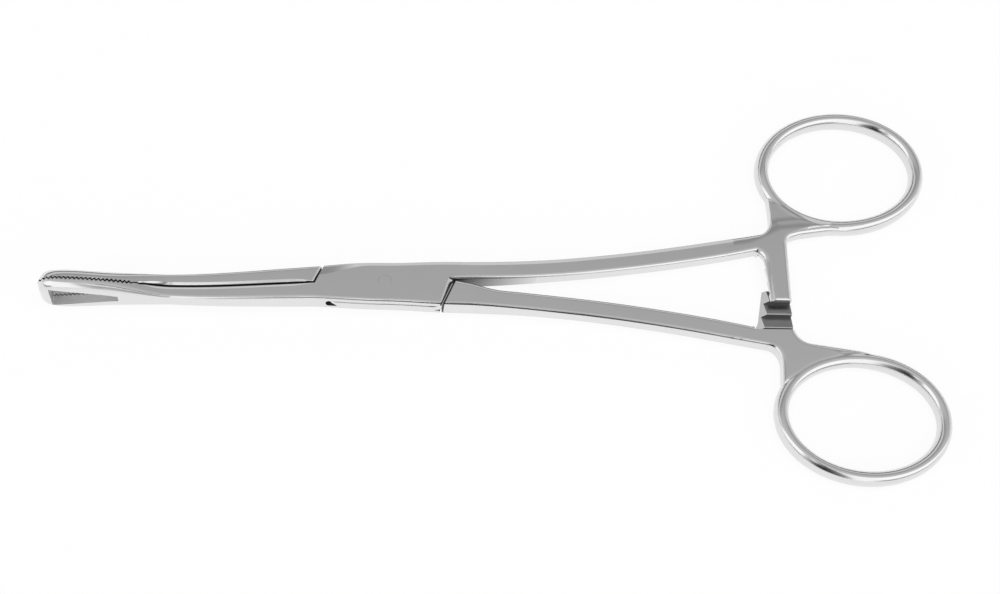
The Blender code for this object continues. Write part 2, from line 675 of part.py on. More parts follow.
def main():
    for thing in list(bpy.data.objects):
        bpy.data.objects.remove(thing)

    jaw_foot = Vector((-JAW_SHOULDER, jaw_line(-JAW_SHOULDER) - JAW_GAP / 2))
    handle_foot = Vector((HANDLE_SHOULDER, HANDLE_SHOULDER_Y))
    upper_arm = {
        "root_width": UPPER_ARM_ROOT_WIDTH,
        "tip_width": UPPER_ARM_TIP_WIDTH,
        "reach": UPPER_ARM_REACH,
        "crotch_offset": UPPER_CROTCH_OFFSET,
        "crotch_fillet": UPPER_CROTCH_FILLET,
    }
    lower_arm = {
        "root_width": LOWER_ARM_ROOT_WIDTH,
        "tip_width": LOWER_ARM_TIP_WIDTH,
        "reach": LOWER_ARM_REACH,
        "crotch_offset": LOWER_CROTCH_OFFSET,
        "crotch_fillet": LOWER_CROTCH_FILLET,
    }
    window = window_cutter("window")
    box_half = box_spine("box_half", jaw_foot, handle_foot)
    tongue_half = tongue_spine("tongue_half", jaw_foot, handle_foot)

    box_joins = [
        finger_ring("upper_ring", 1),
        web_with_arm("upper_web", 1, upper_arm),
    ]
    box_cuts = [
        ratchet_cutter("upper_ratchet", 1, upper_arm),
        slot_cutter("slot", jaw_foot, handle_foot),
        cheek_bevel_cutter("top_cheek_bevel", handle_foot, 1),
        cheek_bevel_cutter("bottom_cheek_bevel", handle_foot, -1),
        serration_cutter("lower_jaw_teeth", -1),
        window,
        cylinder("cheek_bore", PIN_RADIUS + PIN_SEAT_CLEARANCE, 4 * LOCK_HALF_THICKNESS),
    ]
    tongue_joins = [
        finger_ring("lower_ring", -1),
        web_with_arm("lower_web", -1, lower_arm),
    ]
    tongue_cuts = [
        ratchet_cutter("lower_ratchet", -1, lower_arm),
        serration_cutter("upper_jaw_teeth", 1),
        window,
        cylinder("tongue_bore", PIN_RADIUS + PIN_RUNNING_CLEARANCE, 4 * LOCK_HALF_THICKNESS),
    ]
    pivot_pin = cylinder("pivot_pin", PIN_RADIUS, 2 * LOCK_HALF_THICKNESS)

    for body, joins, cuts in ((box_half, box_joins, box_cuts), (tongue_half, tongue_joins, tongue_cuts)):
        for other in joins:
            boolean(body, other, "UNION")
        for other in cuts:
            boolean(body, other, "DIFFERENCE")

    shade(box_half, steel("satin_steel", (0.58, 0.58, 0.59), 0.24))
    shade(tongue_half, steel("satin_steel_tongue", (0.56, 0.56, 0.57), 0.26))
    shade(pivot_pin, steel("ground_pin", (0.60, 0.60, 0.61), 0.22))
    cutters = box_joins + box_cuts + tongue_joins + [cut for cut in tongue_cuts if cut is not window]
    file_away([box_half, tongue_half, pivot_pin], cutters)


main()
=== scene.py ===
"""A piercing clamp in satin stainless steel, lying closed on a pale table.

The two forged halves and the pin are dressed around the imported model, in metres
and in its frame: jaws along -X, finger rings along +X, the lock's underside at
Z = 0. Shapes of the halves are worked out about their middle plane and lifted.
"""
import math

import bmesh
import bpy
import numpy as np
from mathutils import Matrix, Vector


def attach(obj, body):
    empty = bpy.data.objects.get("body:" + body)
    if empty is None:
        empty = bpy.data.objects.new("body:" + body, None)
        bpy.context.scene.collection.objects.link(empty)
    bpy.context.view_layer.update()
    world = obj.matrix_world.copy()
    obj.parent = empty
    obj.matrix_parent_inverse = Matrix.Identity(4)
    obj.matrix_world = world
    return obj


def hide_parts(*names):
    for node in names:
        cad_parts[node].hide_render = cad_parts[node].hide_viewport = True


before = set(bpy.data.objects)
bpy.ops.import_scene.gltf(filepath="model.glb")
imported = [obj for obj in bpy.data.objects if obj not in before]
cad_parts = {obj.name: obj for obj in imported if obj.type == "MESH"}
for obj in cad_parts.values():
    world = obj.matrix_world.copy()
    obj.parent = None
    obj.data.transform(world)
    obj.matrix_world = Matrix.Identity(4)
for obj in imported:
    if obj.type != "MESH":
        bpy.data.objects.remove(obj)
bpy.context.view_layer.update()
MM = 0.001
scene = bpy.context.scene
scene.view_settings.view_transform = "Standard"


# The camera. It looks down on the closed clamp from the front and a little from
# the left, and it is turned about its own axis so that the clamp lies level.
LOCK_HALF_THICKNESS = 2.75 * MM
CAMERA_ELEVATION = math.radians(66.82)
CAMERA_AZIMUTH = math.radians(-13.49)
CAMERA_ROLL = math.radians(13.28)
CAMERA_DISTANCE = 412 * MM
CAMERA_TARGET = Vector((25.3 * MM, -2.1 * MM, LOCK_HALF_THICKNESS))
FOCAL_PIXELS = 1878.7
PHOTO_WIDTH = 1000

lens = bpy.data.cameras.new("camera")
lens.sensor_width = 36
lens.lens = FOCAL_PIXELS * lens.sensor_width / PHOTO_WIDTH
lens.clip_start = 10 * MM
camera = bpy.data.objects.new("camera", lens)
scene.collection.objects.link(camera)
level = math.cos(CAMERA_ELEVATION)
backwards = Vector((
    math.sin(CAMERA_AZIMUTH) * level,
    -math.cos(CAMERA_AZIMUTH) * level,
    math.sin(CAMERA_ELEVATION),
))
rightwards = Vector((math.cos(CAMERA_AZIMUTH), math.sin(CAMERA_AZIMUTH), 0))
upwards = backwards.cross(rightwards)
turned = Matrix((rightwards, upwards, backwards)).transposed().to_4x4()
camera.matrix_world = (
    Matrix.Translation(CAMERA_TARGET + backwards * CAMERA_DISTANCE)
    @ turned
    @ Matrix.Rotation(CAMERA_ROLL, 4, "Z")
)
scene.camera = camera


# The steel. Both halves are ground along X to a fine satin. The machined teeth are duller
# and darkened with painted shade, and the milled walls of the window are duller. The faces in
# the joint's gaps and between the jaws are rough and painted near black as shade, and the
# steel between the shanks has painted shade, darkest next to the lock.
GRAIN_SCALE = (60, 1400, 900)


class Amount:
    """A number inside a finish. Sums and products with it add its Math nodes."""

    def __init__(self, finish, socket):
        self.finish = finish
        self.socket = socket

    def maths(self, operation, first, second):
        return self.finish.node("ShaderNodeMath", {"operation": operation}, {0: first, 1: second})

    def beside(self, output):
        """Another output of the node that gives this one."""
        return Amount(self.finish, self.socket.node.outputs[output])

    def __add__(self, other):
        return self.maths("ADD", self, other)

    def __sub__(self, other):
        return self.maths("SUBTRACT", self, other)

    def __rsub__(self, other):
        return self.maths("SUBTRACT", other, self)

    def __mul__(self, other):
        return self.maths("MULTIPLY", self, other)

    __radd__ = __add__
    __rmul__ = __mul__


class Finish:
    """A material under construction: node() adds one node and gives its output."""

    def __init__(self, owner):
        self.tree = owner.node_tree

    def node(self, kind, settings=None, inputs=None, output=0):
        made = self.tree.nodes.new(kind)
        for name, setting in (settings or {}).items():
            setattr(made, name, setting)
        for name, value in (inputs or {}).items():
            if isinstance(value, Amount):
                self.tree.links.new(value.socket, made.inputs[name])
            else:
                made.inputs[name].default_value = value
        return Amount(self, made.outputs[output])

    def stops(self, factor, places):
        """A colour ramp through (place, brightness) stops."""
        ramp = self.node("ShaderNodeValToRGB", inputs={"Fac": factor})
        scale = ramp.socket.node.color_ramp
        while len(scale.elements) < len(places):
            scale.elements.new(1.0)
        for element, (place, brightness) in zip(scale.elements, places):
            element.position = place
            element.color = (brightness, brightness, brightness, 1)
        return ramp

    def mixed(self, share, first, second):
        """A colour between two others."""
        inputs = {"Factor": share, 6: first, 7: second}
        return self.node("ShaderNodeMix", {"data_type": "RGBA"}, inputs, output=2)

    def surface(self, shown):
        """Shows a shader on the material's surface."""
        self.tree.links.new(shown.socket, self.tree.nodes["Material Output"].inputs["Surface"])


def steel(name, light, dark, roughness, grain, painted_shade_span=None):
    """Ground steel: grain scales the scratches, light and dark are its two tones.

    Where two places in X are given, painted shade darkens the steel at the first and is gone by the second.
    """
    material = bpy.data.materials.new(name)
    material.use_nodes = True
    finish = Finish(material)
    shader = material.node_tree.nodes["Principled BSDF"]
    place = finish.node("ShaderNodeTexCoord", output="Object")
    along = finish.node("ShaderNodeMapping", inputs={"Vector": place, "Scale": GRAIN_SCALE})
    scratches = finish.node("ShaderNodeTexNoise", inputs={"Vector": along, "Scale": 6.0, "Detail": 4.0})
    cloudy = finish.node("ShaderNodeTexNoise", inputs={"Vector": place, "Scale": 90.0, "Detail": 3.0})
    patches = finish.node("ShaderNodeTexNoise", inputs={"Vector": place, "Scale": 700.0, "Detail": 2.0})
    tone = cloudy * 0.6 + patches * 0.2 + scratches * 0.2
    colour = finish.mixed(tone, (*dark, 1), (*light, 1))
    # Painted shade: the colour is darkened towards the first place in X, down to near black.
    if painted_shade_span:
        from_left = finish.node("ShaderNodeSeparateXYZ", inputs={0: place}) - painted_shade_span[0]
        share = from_left * (1 / (painted_shade_span[1] - painted_shade_span[0]))
        shade = finish.stops(share, [(0.0, 0.03), (0.25, 0.16), (1.0, 1.0)])
        colour = finish.mixed(shade, (0.01, 0.01, 0.01, 1), colour)
    wear = (scratches - 0.5) * grain + (cloudy - 0.5) * 0.10 + roughness
    relief = finish.node(
        "ShaderNodeBump",
        inputs={"Strength": 0.10, "Distance": 0.02 * MM, "Height": scratches * grain * 4 + patches * 0.3},
    )
    links = material.node_tree.links
    links.new(colour.socket, shader.inputs["Base Color"])
    links.new(wear.socket, shader.inputs["Roughness"])
    links.new(relief.socket, shader.inputs["Normal"])
    shader.inputs["Metallic"].default_value = 1.0
    return material


satin = steel("satin_steel", (0.80, 0.80, 0.805), (0.72, 0.72, 0.725), 0.15, 0.08)
milled = steel("milled_window", (0.90, 0.90, 0.90), (0.56, 0.56, 0.56), 0.46, 0.40)
# Machined teeth: duller and rougher steel, and darkened with painted shade.
machined_shaded = steel("machined_teeth_painted_shade", (0.34, 0.34, 0.34), (0.20, 0.20, 0.20), 0.38, 0.20)
# Satin steel with painted shade between the shanks, darkest next to the lock.
crotch_shade = steel("crotch_painted_shade", (0.80, 0.80, 0.805), (0.72, 0.72, 0.725), 0.25, 0.08, (15 * MM, 34 * MM))
# Painted shade: near-black rough steel for the faces in the lock's gaps and between the jaws.
joint_shade = steel("joint_painted_shade", (0.11, 0.11, 0.11), (0.06, 0.06, 0.06), 0.55, 0.10)


# The spines of the two halves. Each is one forging: a slim curved jaw with a flared
# head, its share of the box lock, and a shank that bows out to the finger ring. The
# box half has the -Y jaw and two cheeks, the other half a thin tongue between them.
LOCK_HALF_WIDTH = 4.6 * MM
CHEEK_THICKNESS = 1.5 * MM
TONGUE_CLEARANCE = 0.15 * MM
JOINT_GAP = 0.3 * MM
SHOULDER_SLANT = math.radians(25)
JAW_SHOULDER = 15.1 * MM
HANDLE_SHOULDER = 14.8 * MM
HANDLE_SHOULDER_Y = 0.96 * MM
SLOT_END_SLANT = math.radians(36)
SLOT_END_NOTCH = 0.5 * MM
TONGUE_INSET = 0.1 * MM
TONGUE_PROUD = 0.16 * MM
LOCK_BAND_WIDTH = 2.6 * MM
SHANK_ROOT_BLEND = 11 * MM
SHOULDER_BEVEL = 0.45 * MM
STEP_INSET = 0.02 * MM
JAW_LENGTH = 74.0 * MM
JAW_LINE_OFFSET = 1.5 * MM
JAW_LINE_START = 4 * MM
JAW_LINE_END = 44 * MM
JAW_ROOT_THICKNESS = 3.77 * MM
JAW_RELIEF = 0.24 * MM
RELIEF_LENGTH = 5 * MM
NECK = 46 * MM
NECK_HALF_HEIGHT = 2.2 * MM
HEAD_THICKNESS = 2.3 * MM
HEAD_TAPER_END = 60 * MM
HEAD_HALF_HEIGHT = 6.1 * MM
HEAD_FLARE = 0.75
HEAD_CORNER = 4.2 * MM
TIP_ROUNDING = 2.0 * MM
HEAD_EDGE = 1.7 * MM
SERRATION_PITCH = 0.9 * MM
SERRATION_DEPTH = 0.42 * MM
SERRATION_COUNT = 22
JAW_GAP = 0.26 * MM
SHANK_HALF_WIDTH = 2.0 * MM
SHANK_END_HALF_WIDTH = 1.3 * MM
SHANK_HALF_THICKNESS = 1.95 * MM
SHANK_THINNING_LENGTH = 26 * MM
SHANK_ROOT_Y = 3.1 * MM
SHANK_BOW = 1.7
SHANK_NARROWS = (0.7, 0.3)
SHANK_LEAD = 3 * MM
RING_X = 104 * MM
RING_Y = 29.6 * MM
RING_HALF_WIDTH = 13.6 * MM
HANDLE_START = 76 * MM
SPINE_END = 78 * MM
SPINE_INSET = 0.008 * MM
SPINE_INSET_FROM = HANDLE_START - 4 * MM
# An edge is a width, a drop and a profile, which runs in shares of the two, inwards and down.
ROUND = [(1 - math.cos(turn), 1 - math.sin(turn)) for turn in np.linspace(0, math.pi / 2, 9)]
GROUND = [
    (0, 1), (0.02, 0.8), (0.06, 0.62), (0.12, 0.5), (0.17, 0.43), (0.22, 0.39),
    (0.95, 0.025), (0.985, 0.004), (1, 0),
]
BEVELLED = [
    (0, 1), (0.01, 0.85), (0.03, 0.72), (0.06, 0.63), (0.1, 0.58), (0.5, 0.32),
    (0.9, 0.06), (0.96, 0.015), (1, 0),
]
MOST_EDGE_DROP = 0.85
SHANK_EDGE = (0.8 * MM, 0.5 * MM, ROUND)
FINE_EDGE = (0.2 * MM, 0.2 * MM, ROUND)
INNER_EDGE_ROOM = 1.5 * FINE_EDGE[0]
UPPER_INNER_EDGE = (0.62 * MM, 0.36 * MM, BEVELLED)
LOWER_INNER_EDGE = (0.55 * MM, 0.27 * MM, GROUND)
TIP_EDGE = 2.4 * MM
TIP_EDGE_FROM = 67.5 * MM
TONGUE_EDGE = (0.05 * MM, 0.05 * MM, ROUND)
TONGUE_FRONT_EDGE = (0.30 * MM, 0.26 * MM, ROUND)
BACK_EDGE = (0.95 * MM, 0.5 * MM, GROUND)
LOCK_FRONT_EDGE = (0.8 * MM, 0.55 * MM, ROUND)


def mix(start, end, share):
    return start + (end - start) * share


def smooth(share):
    """A share from 0 to 1, slowed at both ends."""
    return share * share * (3 - 2 * share)


def ease(share):
    return smooth(min(max(share, 0.0), 1.0))


def jaw_line(x):
    """Y of the plane between the jaws, which bends towards the box half's side."""
    return -JAW_LINE_OFFSET * ease((-x - JAW_LINE_START) / (JAW_LINE_END - JAW_LINE_START))


def jaw_thickness(x):
    share = (-x - JAW_SHOULDER) / (HEAD_TAPER_END - JAW_SHOULDER)
    return mix(JAW_ROOT_THICKNESS, HEAD_THICKNESS, min(max(share, 0.0), 1.0))


def half_height(x):
    """Half the height of the jaws and the lock."""
    if x > -JAW_SHOULDER:
        return LOCK_HALF_THICKNESS
    if x > -NECK:
        share = (-x - JAW_SHOULDER) / (NECK - JAW_SHOULDER)
        return mix(LOCK_HALF_THICKNESS, NECK_HALF_HEIGHT, ease(share))
    flare_end = JAW_LENGTH - HEAD_CORNER
    share = min((-x - NECK) / (flare_end - NECK), 1.0)
    height = mix(NECK_HALF_HEIGHT, HEAD_HALF_HEIGHT, ease(share ** HEAD_FLARE))
    into_corner = max(-x - flare_end, 0.0)
    return height - HEAD_CORNER + math.sqrt(max(HEAD_CORNER ** 2 - into_corner ** 2, 0.0))


def shank_centre(x):
    """Centre line of the +Y shank."""
    share = max((x - HANDLE_SHOULDER) / (RING_X - HANDLE_SHOULDER), 0.0)
    return mix(SHANK_ROOT_Y, RING_Y - RING_HALF_WIDTH, share ** SHANK_BOW)


def shank_half_width(x):
    start, run = SHANK_NARROWS
    return mix(SHANK_HALF_WIDTH, SHANK_END_HALF_WIDTH, ease((x / RING_X - start) / run))


def shank_half_height(x):
    share = (x - HANDLE_SHOULDER) / SHANK_THINNING_LENGTH
    return mix(LOCK_HALF_THICKNESS, SHANK_HALF_THICKNESS, ease(share))


def outer_side(x, side):
    """Y of the outer edge of the closed clamp, from the tip to the shanks."""
    if x < -JAW_SHOULDER:
        rounding = max(TIP_ROUNDING - max(x + JAW_LENGTH, 0.0), 0.0)
        tip = TIP_ROUNDING - math.sqrt(max(TIP_ROUNDING ** 2 - rounding ** 2, 0.0))
        return jaw_line(x) + side * (jaw_thickness(x) - tip)
    if x < 0:
        swell = math.sin((x + JAW_SHOULDER) / JAW_SHOULDER * math.pi / 2)
        return jaw_line(x) + side * mix(JAW_ROOT_THICKNESS, LOCK_HALF_WIDTH, swell)
    shank_edge = shank_centre(x) + shank_half_width(x)
    return side * mix(LOCK_HALF_WIDTH, shank_edge, ease(x / HANDLE_SHOULDER))


def on_slant(foot, side):
    """Where the slanted shoulder through foot meets the outer edge on one side."""
    x = foot.x
    for _ in range(30):
        x = foot.x + (outer_side(x, side) - foot.y) * math.tan(SHOULDER_SLANT)
    return Vector((x, outer_side(x, side)))


def station(low, high, height, low_edge, high_edge):
    """One rounded rectangle across a spine, as a closed ring of points."""
    low = Vector(low)
    high = Vector(high)
    width = (high - low).length
    across = (high - low) / width
    points = []
    corners = ((high_edge, True, 1), (low_edge, False, 1), (low_edge, False, -1), (high_edge, True, -1))
    for (edge_width, edge_drop, profile), at_high, up in corners:
        corner = []
        for inwards, downwards in profile:
            plan = low + across * (width - inwards * edge_width if at_high else inwards * edge_width)
            corner.append((plan.x, plan.y, up * (height - downwards * edge_drop)))
        points += corner if at_high == (up > 0) else corner[::-1]
    return points


def as_object(name, shape):
    """Makes an object of a bmesh, faces outwards."""
    bmesh.ops.recalc_face_normals(shape, faces=shape.faces)
    mesh = bpy.data.meshes.new(name)
    shape.to_mesh(mesh)
    shape.free()
    made = bpy.data.objects.new(name, mesh)
    scene.collection.objects.link(made)
    return made


def loft(name, rings):
    """A capped skin over rings of points; a mirrored ring may run the other way round."""
    shape = bmesh.new()
    loops = []
    for ring in rings:
        loops.append([shape.verts.new(point) for point in ring])
    for here, after in zip(loops, loops[1:]):
        for k in range(len(here)):
            shape.faces.new((here[k - 1], here[k], after[k], after[k - 1]))
    shape.faces.new(loops[0])
    shape.faces.new(reversed(loops[-1]))
    return as_object(name, shape)


def jaw_rings(side):
    """Stations of one jaw from its tip to near its shoulder; side is +1 for the +Y jaw."""
    turns = [share * math.pi / 2 for share in np.linspace(0, 1, 15)]
    places = [-JAW_LENGTH + HEAD_CORNER * (1 - math.cos(turn)) for turn in turns]
    places += list(np.linspace(-JAW_LENGTH + HEAD_CORNER, -NECK, 30)[1:])
    places += list(np.linspace(-NECK, -JAW_SHOULDER, 34)[1:-3])
    serrated_to = -JAW_LENGTH + (SERRATION_COUNT + 1) * SERRATION_PITCH
    rings = []
    for x in places:
        opening = ease(min(x - serrated_to, -JAW_SHOULDER - x) / RELIEF_LENGTH)
        if x < serrated_to:
            inner = jaw_line(x) - side * (SERRATION_DEPTH / 2 + JAW_GAP)
        else:
            inner = jaw_line(x) + side * mix(JAW_GAP / 2, JAW_RELIEF, opening)
        share = ease((-x - NECK) / (HEAD_TAPER_END - NECK))
        outer = outer_side(x, side)
        room = abs(outer - inner) - INNER_EDGE_ROOM
        round_off = mix(HEAD_EDGE, TIP_EDGE, ease((-x - TIP_EDGE_FROM) / (JAW_LENGTH - TIP_EDGE_FROM)))
        edge_width = min(mix(SHANK_EDGE[0], round_off, share), room)
        edge_drop = min(mix(SHANK_EDGE[1], round_off, share), MOST_EDGE_DROP * half_height(x))
        edge = (edge_width, edge_drop, ROUND)
        full = UPPER_INNER_EDGE if side > 0 else LOWER_INNER_EDGE
        inner_edge = (mix(FINE_EDGE[0], full[0], opening), mix(FINE_EDGE[1], full[1], opening), full[2])
        if side > 0:
            rings.append(station((x, inner), (x, outer), half_height(x), inner_edge, edge))
        else:
            rings.append(station((x, outer), (x, inner), half_height(x), edge, inner_edge))
    return rings


def shank_rings(start, root_shift, side):
    """Stations of a shank from the lock to inside the handle; side is +1 for the +Y one."""
    rings = []
    for x in np.linspace(start, SPINE_END, 40):
        rise = shank_centre(x + SHANK_HALF_WIDTH) - shank_centre(x - SHANK_HALF_WIDTH)
        slope = rise / (2 * SHANK_HALF_WIDTH)
        normal = Vector((-slope, 1)).normalized()
        centre = Vector((x, shank_centre(x)))
        inset = SPINE_INSET if x > SPINE_INSET_FROM else 0.0
        half = shank_half_width(x) - inset
        low = centre - normal * half
        low.y -= root_shift * (1 - ease((x - HANDLE_SHOULDER) / SHANK_ROOT_BLEND))
        ends = [low, centre + normal * half]
        if side < 0:
            ends = [Vector((end.x, -end.y)) for end in reversed(ends)]
        back = BACK_EDGE if side > 0 else SHANK_EDGE
        rings.append(station(*ends, shank_half_height(x) - inset, SHANK_EDGE, back))
    return rings


jaw_foot = Vector((-JAW_SHOULDER, jaw_line(-JAW_SHOULDER) - JAW_GAP / 2))
handle_foot = Vector((HANDLE_SHOULDER, HANDLE_SHOULDER_Y))
slant = Vector((math.sin(SHOULDER_SLANT), math.cos(SHOULDER_SLANT)))


def box_spine(name):
    """The -Y jaw, the solid lock and the +Y shank."""
    rings = jaw_rings(-1)
    jaw_low = on_slant(jaw_foot, -1)
    jaw_high = on_slant(jaw_foot, 1)
    handle_low = on_slant(handle_foot, -1)
    handle_high = on_slant(handle_foot, 1)
    inset = slant * STEP_INSET
    end_height = LOCK_HALF_THICKNESS - STEP_INSET
    rings.append(station(jaw_low + inset, jaw_foot, end_height, SHANK_EDGE, FINE_EDGE))
    for share in np.linspace(0, 1, 30):
        low_x = mix(jaw_low.x, handle_low.x, share)
        high_x = mix(jaw_high.x, handle_high.x, share)
        band = mix(LOCK_BAND_WIDTH, BACK_EDGE[0], ease(share * 3))
        low = (low_x, outer_side(low_x, -1))
        high = (high_x, outer_side(high_x, 1))
        rings.append(station(low, high, LOCK_HALF_THICKNESS, LOCK_FRONT_EDGE, (band, BACK_EDGE[1], GROUND)))
    rings.append(station(handle_foot, handle_high - inset, end_height, SHANK_EDGE, BACK_EDGE))
    rings += shank_rings(handle_high.x + SHANK_LEAD, 0.0, 1)
    return loft(name, rings)


def rim(x, side):
    """A point near the lock's outer edge, where the tongue's side runs; it stands proud at -Y."""
    inset = TONGUE_INSET if side > 0 else -TONGUE_PROUD
    return Vector((x, outer_side(x, side) - side * inset))


def tongue_plan():
    """Low and high plan points along the tongue, clear of the slot's two slanted ends."""
    reach = math.tan(SLOT_END_SLANT)
    gap = JOINT_GAP / math.cos(SLOT_END_SLANT)
    front_x = jaw_foot.x + gap + (jaw_foot.y - outer_side(jaw_foot.x, -1)) * reach + SLOT_END_NOTCH
    back_x = handle_foot.x - gap - (outer_side(handle_foot.x, 1) - handle_foot.y) * reach - SLOT_END_NOTCH
    lows = [Vector((jaw_foot.x + gap, jaw_foot.y + JAW_GAP / 2))]
    highs = [rim(mix(jaw_foot.x, 0, 0.16), 1)]
    lows.append((lows[0] + rim(front_x, -1)) / 2)
    highs.append(rim(mix(jaw_foot.x, 0, 0.32), 1))
    lows.append(rim(front_x, -1))
    highs.append(rim(mix(jaw_foot.x, 0, 0.5), 1))
    for share in np.linspace(0.05, 0.8, 14):
        lows.append(rim(mix(front_x, handle_foot.x * 0.5, share), -1))
        highs.append(rim(mix(jaw_foot.x * 0.5, back_x, share), 1))
    last_high = Vector((handle_foot.x - gap, handle_foot.y - JOINT_GAP / 2))
    lows.append(rim(mix(handle_foot.x, 0, 0.5), -1))
    highs.append(rim(back_x, 1))
    lows.append(rim(mix(handle_foot.x, 0, 0.38), -1))
    highs.append((last_high + rim(back_x, 1)) / 2)
    lows.append(rim(mix(handle_foot.x, 0, 0.27), -1))
    highs.append(last_high)
    return list(zip(lows, highs))


def tongue_spine(name):
    """The +Y jaw, the thin tongue and the -Y shank."""
    height = LOCK_HALF_THICKNESS
    bevelled = height - SHOULDER_BEVEL * 0.7
    tongue = LOCK_HALF_THICKNESS - CHEEK_THICKNESS - TONGUE_CLEARANCE
    gap = JOINT_GAP / math.cos(SHOULDER_SLANT)
    jaw_end = Vector((jaw_foot.x - gap, jaw_foot.y + JAW_GAP))
    handle_end = Vector((handle_foot.x + gap, handle_foot.y - JOINT_GAP))
    bevel_x = Vector((SHOULDER_BEVEL, 0))
    ground = slant * SHOULDER_BEVEL * 0.4
    inside = slant * SHOULDER_BEVEL * 0.8
    rings = jaw_rings(1)
    rings.append(station(jaw_end - bevel_x, on_slant(jaw_end - bevel_x, 1), height, FINE_EDGE, SHANK_EDGE))
    high = on_slant(jaw_end, 1)
    rings.append(station(jaw_end, high - ground, bevelled, FINE_EDGE, SHANK_EDGE))
    rings.append(station(jaw_end + slant * TONGUE_INSET, high - inside, tongue, TONGUE_EDGE, TONGUE_EDGE))
    for low, high in tongue_plan():
        rings.append(station(low, high, tongue, TONGUE_FRONT_EDGE, TONGUE_EDGE))
    low = on_slant(handle_end, -1)
    rings.append(station(low + inside, handle_end - slant * TONGUE_INSET, tongue, TONGUE_EDGE, TONGUE_EDGE))
    rings.append(station(low + ground, handle_end, bevelled, SHANK_EDGE, SHANK_EDGE))
    shifted = handle_end + bevel_x
    rings.append(station(on_slant(shifted, -1), shifted, height, SHANK_EDGE, SHANK_EDGE))
    root_shift = handle_end.y + SHANK_ROOT_Y - SHANK_HALF_WIDTH
    rings += shank_rings(shifted.x + SHANK_LEAD, root_shift, -1)
    return loft(name, rings)


box_half = box_spine("box_half_steel")
tongue_half = tongue_spine("tongue_half_steel")


# The handles. Each shank swells into a flat web that carries the ratchet arm, and the
# web runs out into an oval finger ring. All of it is one forging, so ring and web are
# blended as soft forms, and the skin is drawn where the blended form ends.
OUTSIDE = 8 * MM
FAR_INSIDE = -20 * MM
RING_HALF_LENGTH = 18.1 * MM
RING_SPLAY = math.radians(4)
RING_WIRE_HALF_WIDTH = 1.59 * MM
RING_WIRE_HALF_HEIGHT = 2.41 * MM
RING_SQUARENESS = 2.1
ARM_RIGHT = 90.3 * MM
ARM_FILLET = 2.6 * MM
ARM_TIP_CORNER = 0.6 * MM
ARM_EDGE = (1.2 * MM, 1.4 * MM)
WEB_EDGE = (0.45 * MM, 0.4 * MM)
LOWER_WEB_EDGE = (0.95 * MM, 0.7 * MM)
FLAT_BLEND = 0.3 * MM
ARM_CHAMFER = (1.05 * MM, math.radians(40))
BACK_BEVEL = (0.95 * MM, math.radians(14))
BEVEL_SOFTNESS = 0.14 * MM
TIP_CHAMFER = (0.35 * MM, math.radians(35))
CHAMFER_GROWS = (1.6 * MM, 3.0 * MM)
CHAMFER_HELD_OFF = 1.3
BAR_START = HANDLE_START - 2 * MM
BAR_END = ARM_RIGHT - 2 * MM
RAISED_START = HANDLE_START - 9 * MM
WEB_START = HANDLE_START + 2 * MM
WEB_FILLET = 4.4 * MM
WEB_OVERLAP = 0.25 * MM
WEB_ENDS_IN_RING = 218
WEB_LEAVES_RING = 203
HANDLE_CELL = 0.18 * MM
PULLS = 4
LONGEST_PULL = 0.7
LEAST_STEEPNESS = 0.05
FLAT_FROM = math.radians(12)
FLAT_FADES = math.radians(46)


def ring_edge(turn, offset):
    """A point beside the +Y ring's centre line, offset outwards."""
    plan = Vector((RING_HALF_LENGTH * math.cos(turn), RING_HALF_WIDTH * math.sin(turn)))
    outwards = Vector((plan.x / RING_HALF_LENGTH ** 2, plan.y / RING_HALF_WIDTH ** 2)).normalized()
    splayed = Matrix.Rotation(RING_SPLAY, 2) @ (plan + outwards * offset)
    return Vector((RING_X + splayed.x, RING_Y + splayed.y))


def along_ring(places):
    """Corners beside the ring, at places in degrees around it and millimetres outwards."""
    return [(*ring_edge(math.radians(turn), offset * MM), 0) for turn, offset in places]


def rounded_outline(corners, steps=8):
    """A plan outline from (x, y, radius) corners, with an arc at each corner that has a radius."""
    outline = []
    for k, (x, y, radius) in enumerate(corners):
        here = Vector((x, y))
        if radius == 0:
            outline.append(here)
            continue
        before = (Vector(corners[k - 1][:2]) - here).normalized()
        after = (Vector(corners[(k + 1) % len(corners)][:2]) - here).normalized()
        half_angle = before.angle(after) / 2
        centre = here + (before + after).normalized() * radius / math.sin(half_angle)
        first = here + before * radius / math.tan(half_angle) - centre
        last = here + after * radius / math.tan(half_angle) - centre
        sweep = first.angle_signed(last)
        for step in range(steps + 1):
            outline.append(centre + Matrix.Rotation(-sweep * step / steps, 2) @ first)
    return outline


def along_shank(start, end, offset, count=12):
    """Corners along one side of the shank, from start to end in X."""
    places = np.linspace(start, end, count)
    return [(x, shank_centre(x) + offset * shank_half_width(x) / SHANK_HALF_WIDTH, 0) for x in places]


def arm_outline(arm):
    """The shank's last stretch with the ratchet arm; its top is the flat of the handle."""
    left = ARM_RIGHT - arm["root_width"]
    crotch_y = shank_centre(ARM_RIGHT) + arm["crotch_offset"]
    corners = along_shank(BAR_START, left - 2 * ARM_FILLET, -SHANK_HALF_WIDTH)
    corners.append((left, shank_centre(left) - shank_half_width(left) - 0.1 * MM, ARM_FILLET))
    past_tip = arm["reach"] + ARM_EDGE[0]
    corners.append((ARM_RIGHT - arm["tip_width"], -past_tip, ARM_TIP_CORNER))
    corners.append((ARM_RIGHT, -past_tip, ARM_TIP_CORNER))
    corners.append((ARM_RIGHT, crotch_y, arm["crotch_fillet"]))
    corners += along_ring(arm["flange"])
    corners += along_shank(ARM_RIGHT - arm["back"], BAR_START, SHANK_HALF_WIDTH)
    return rounded_outline(corners)


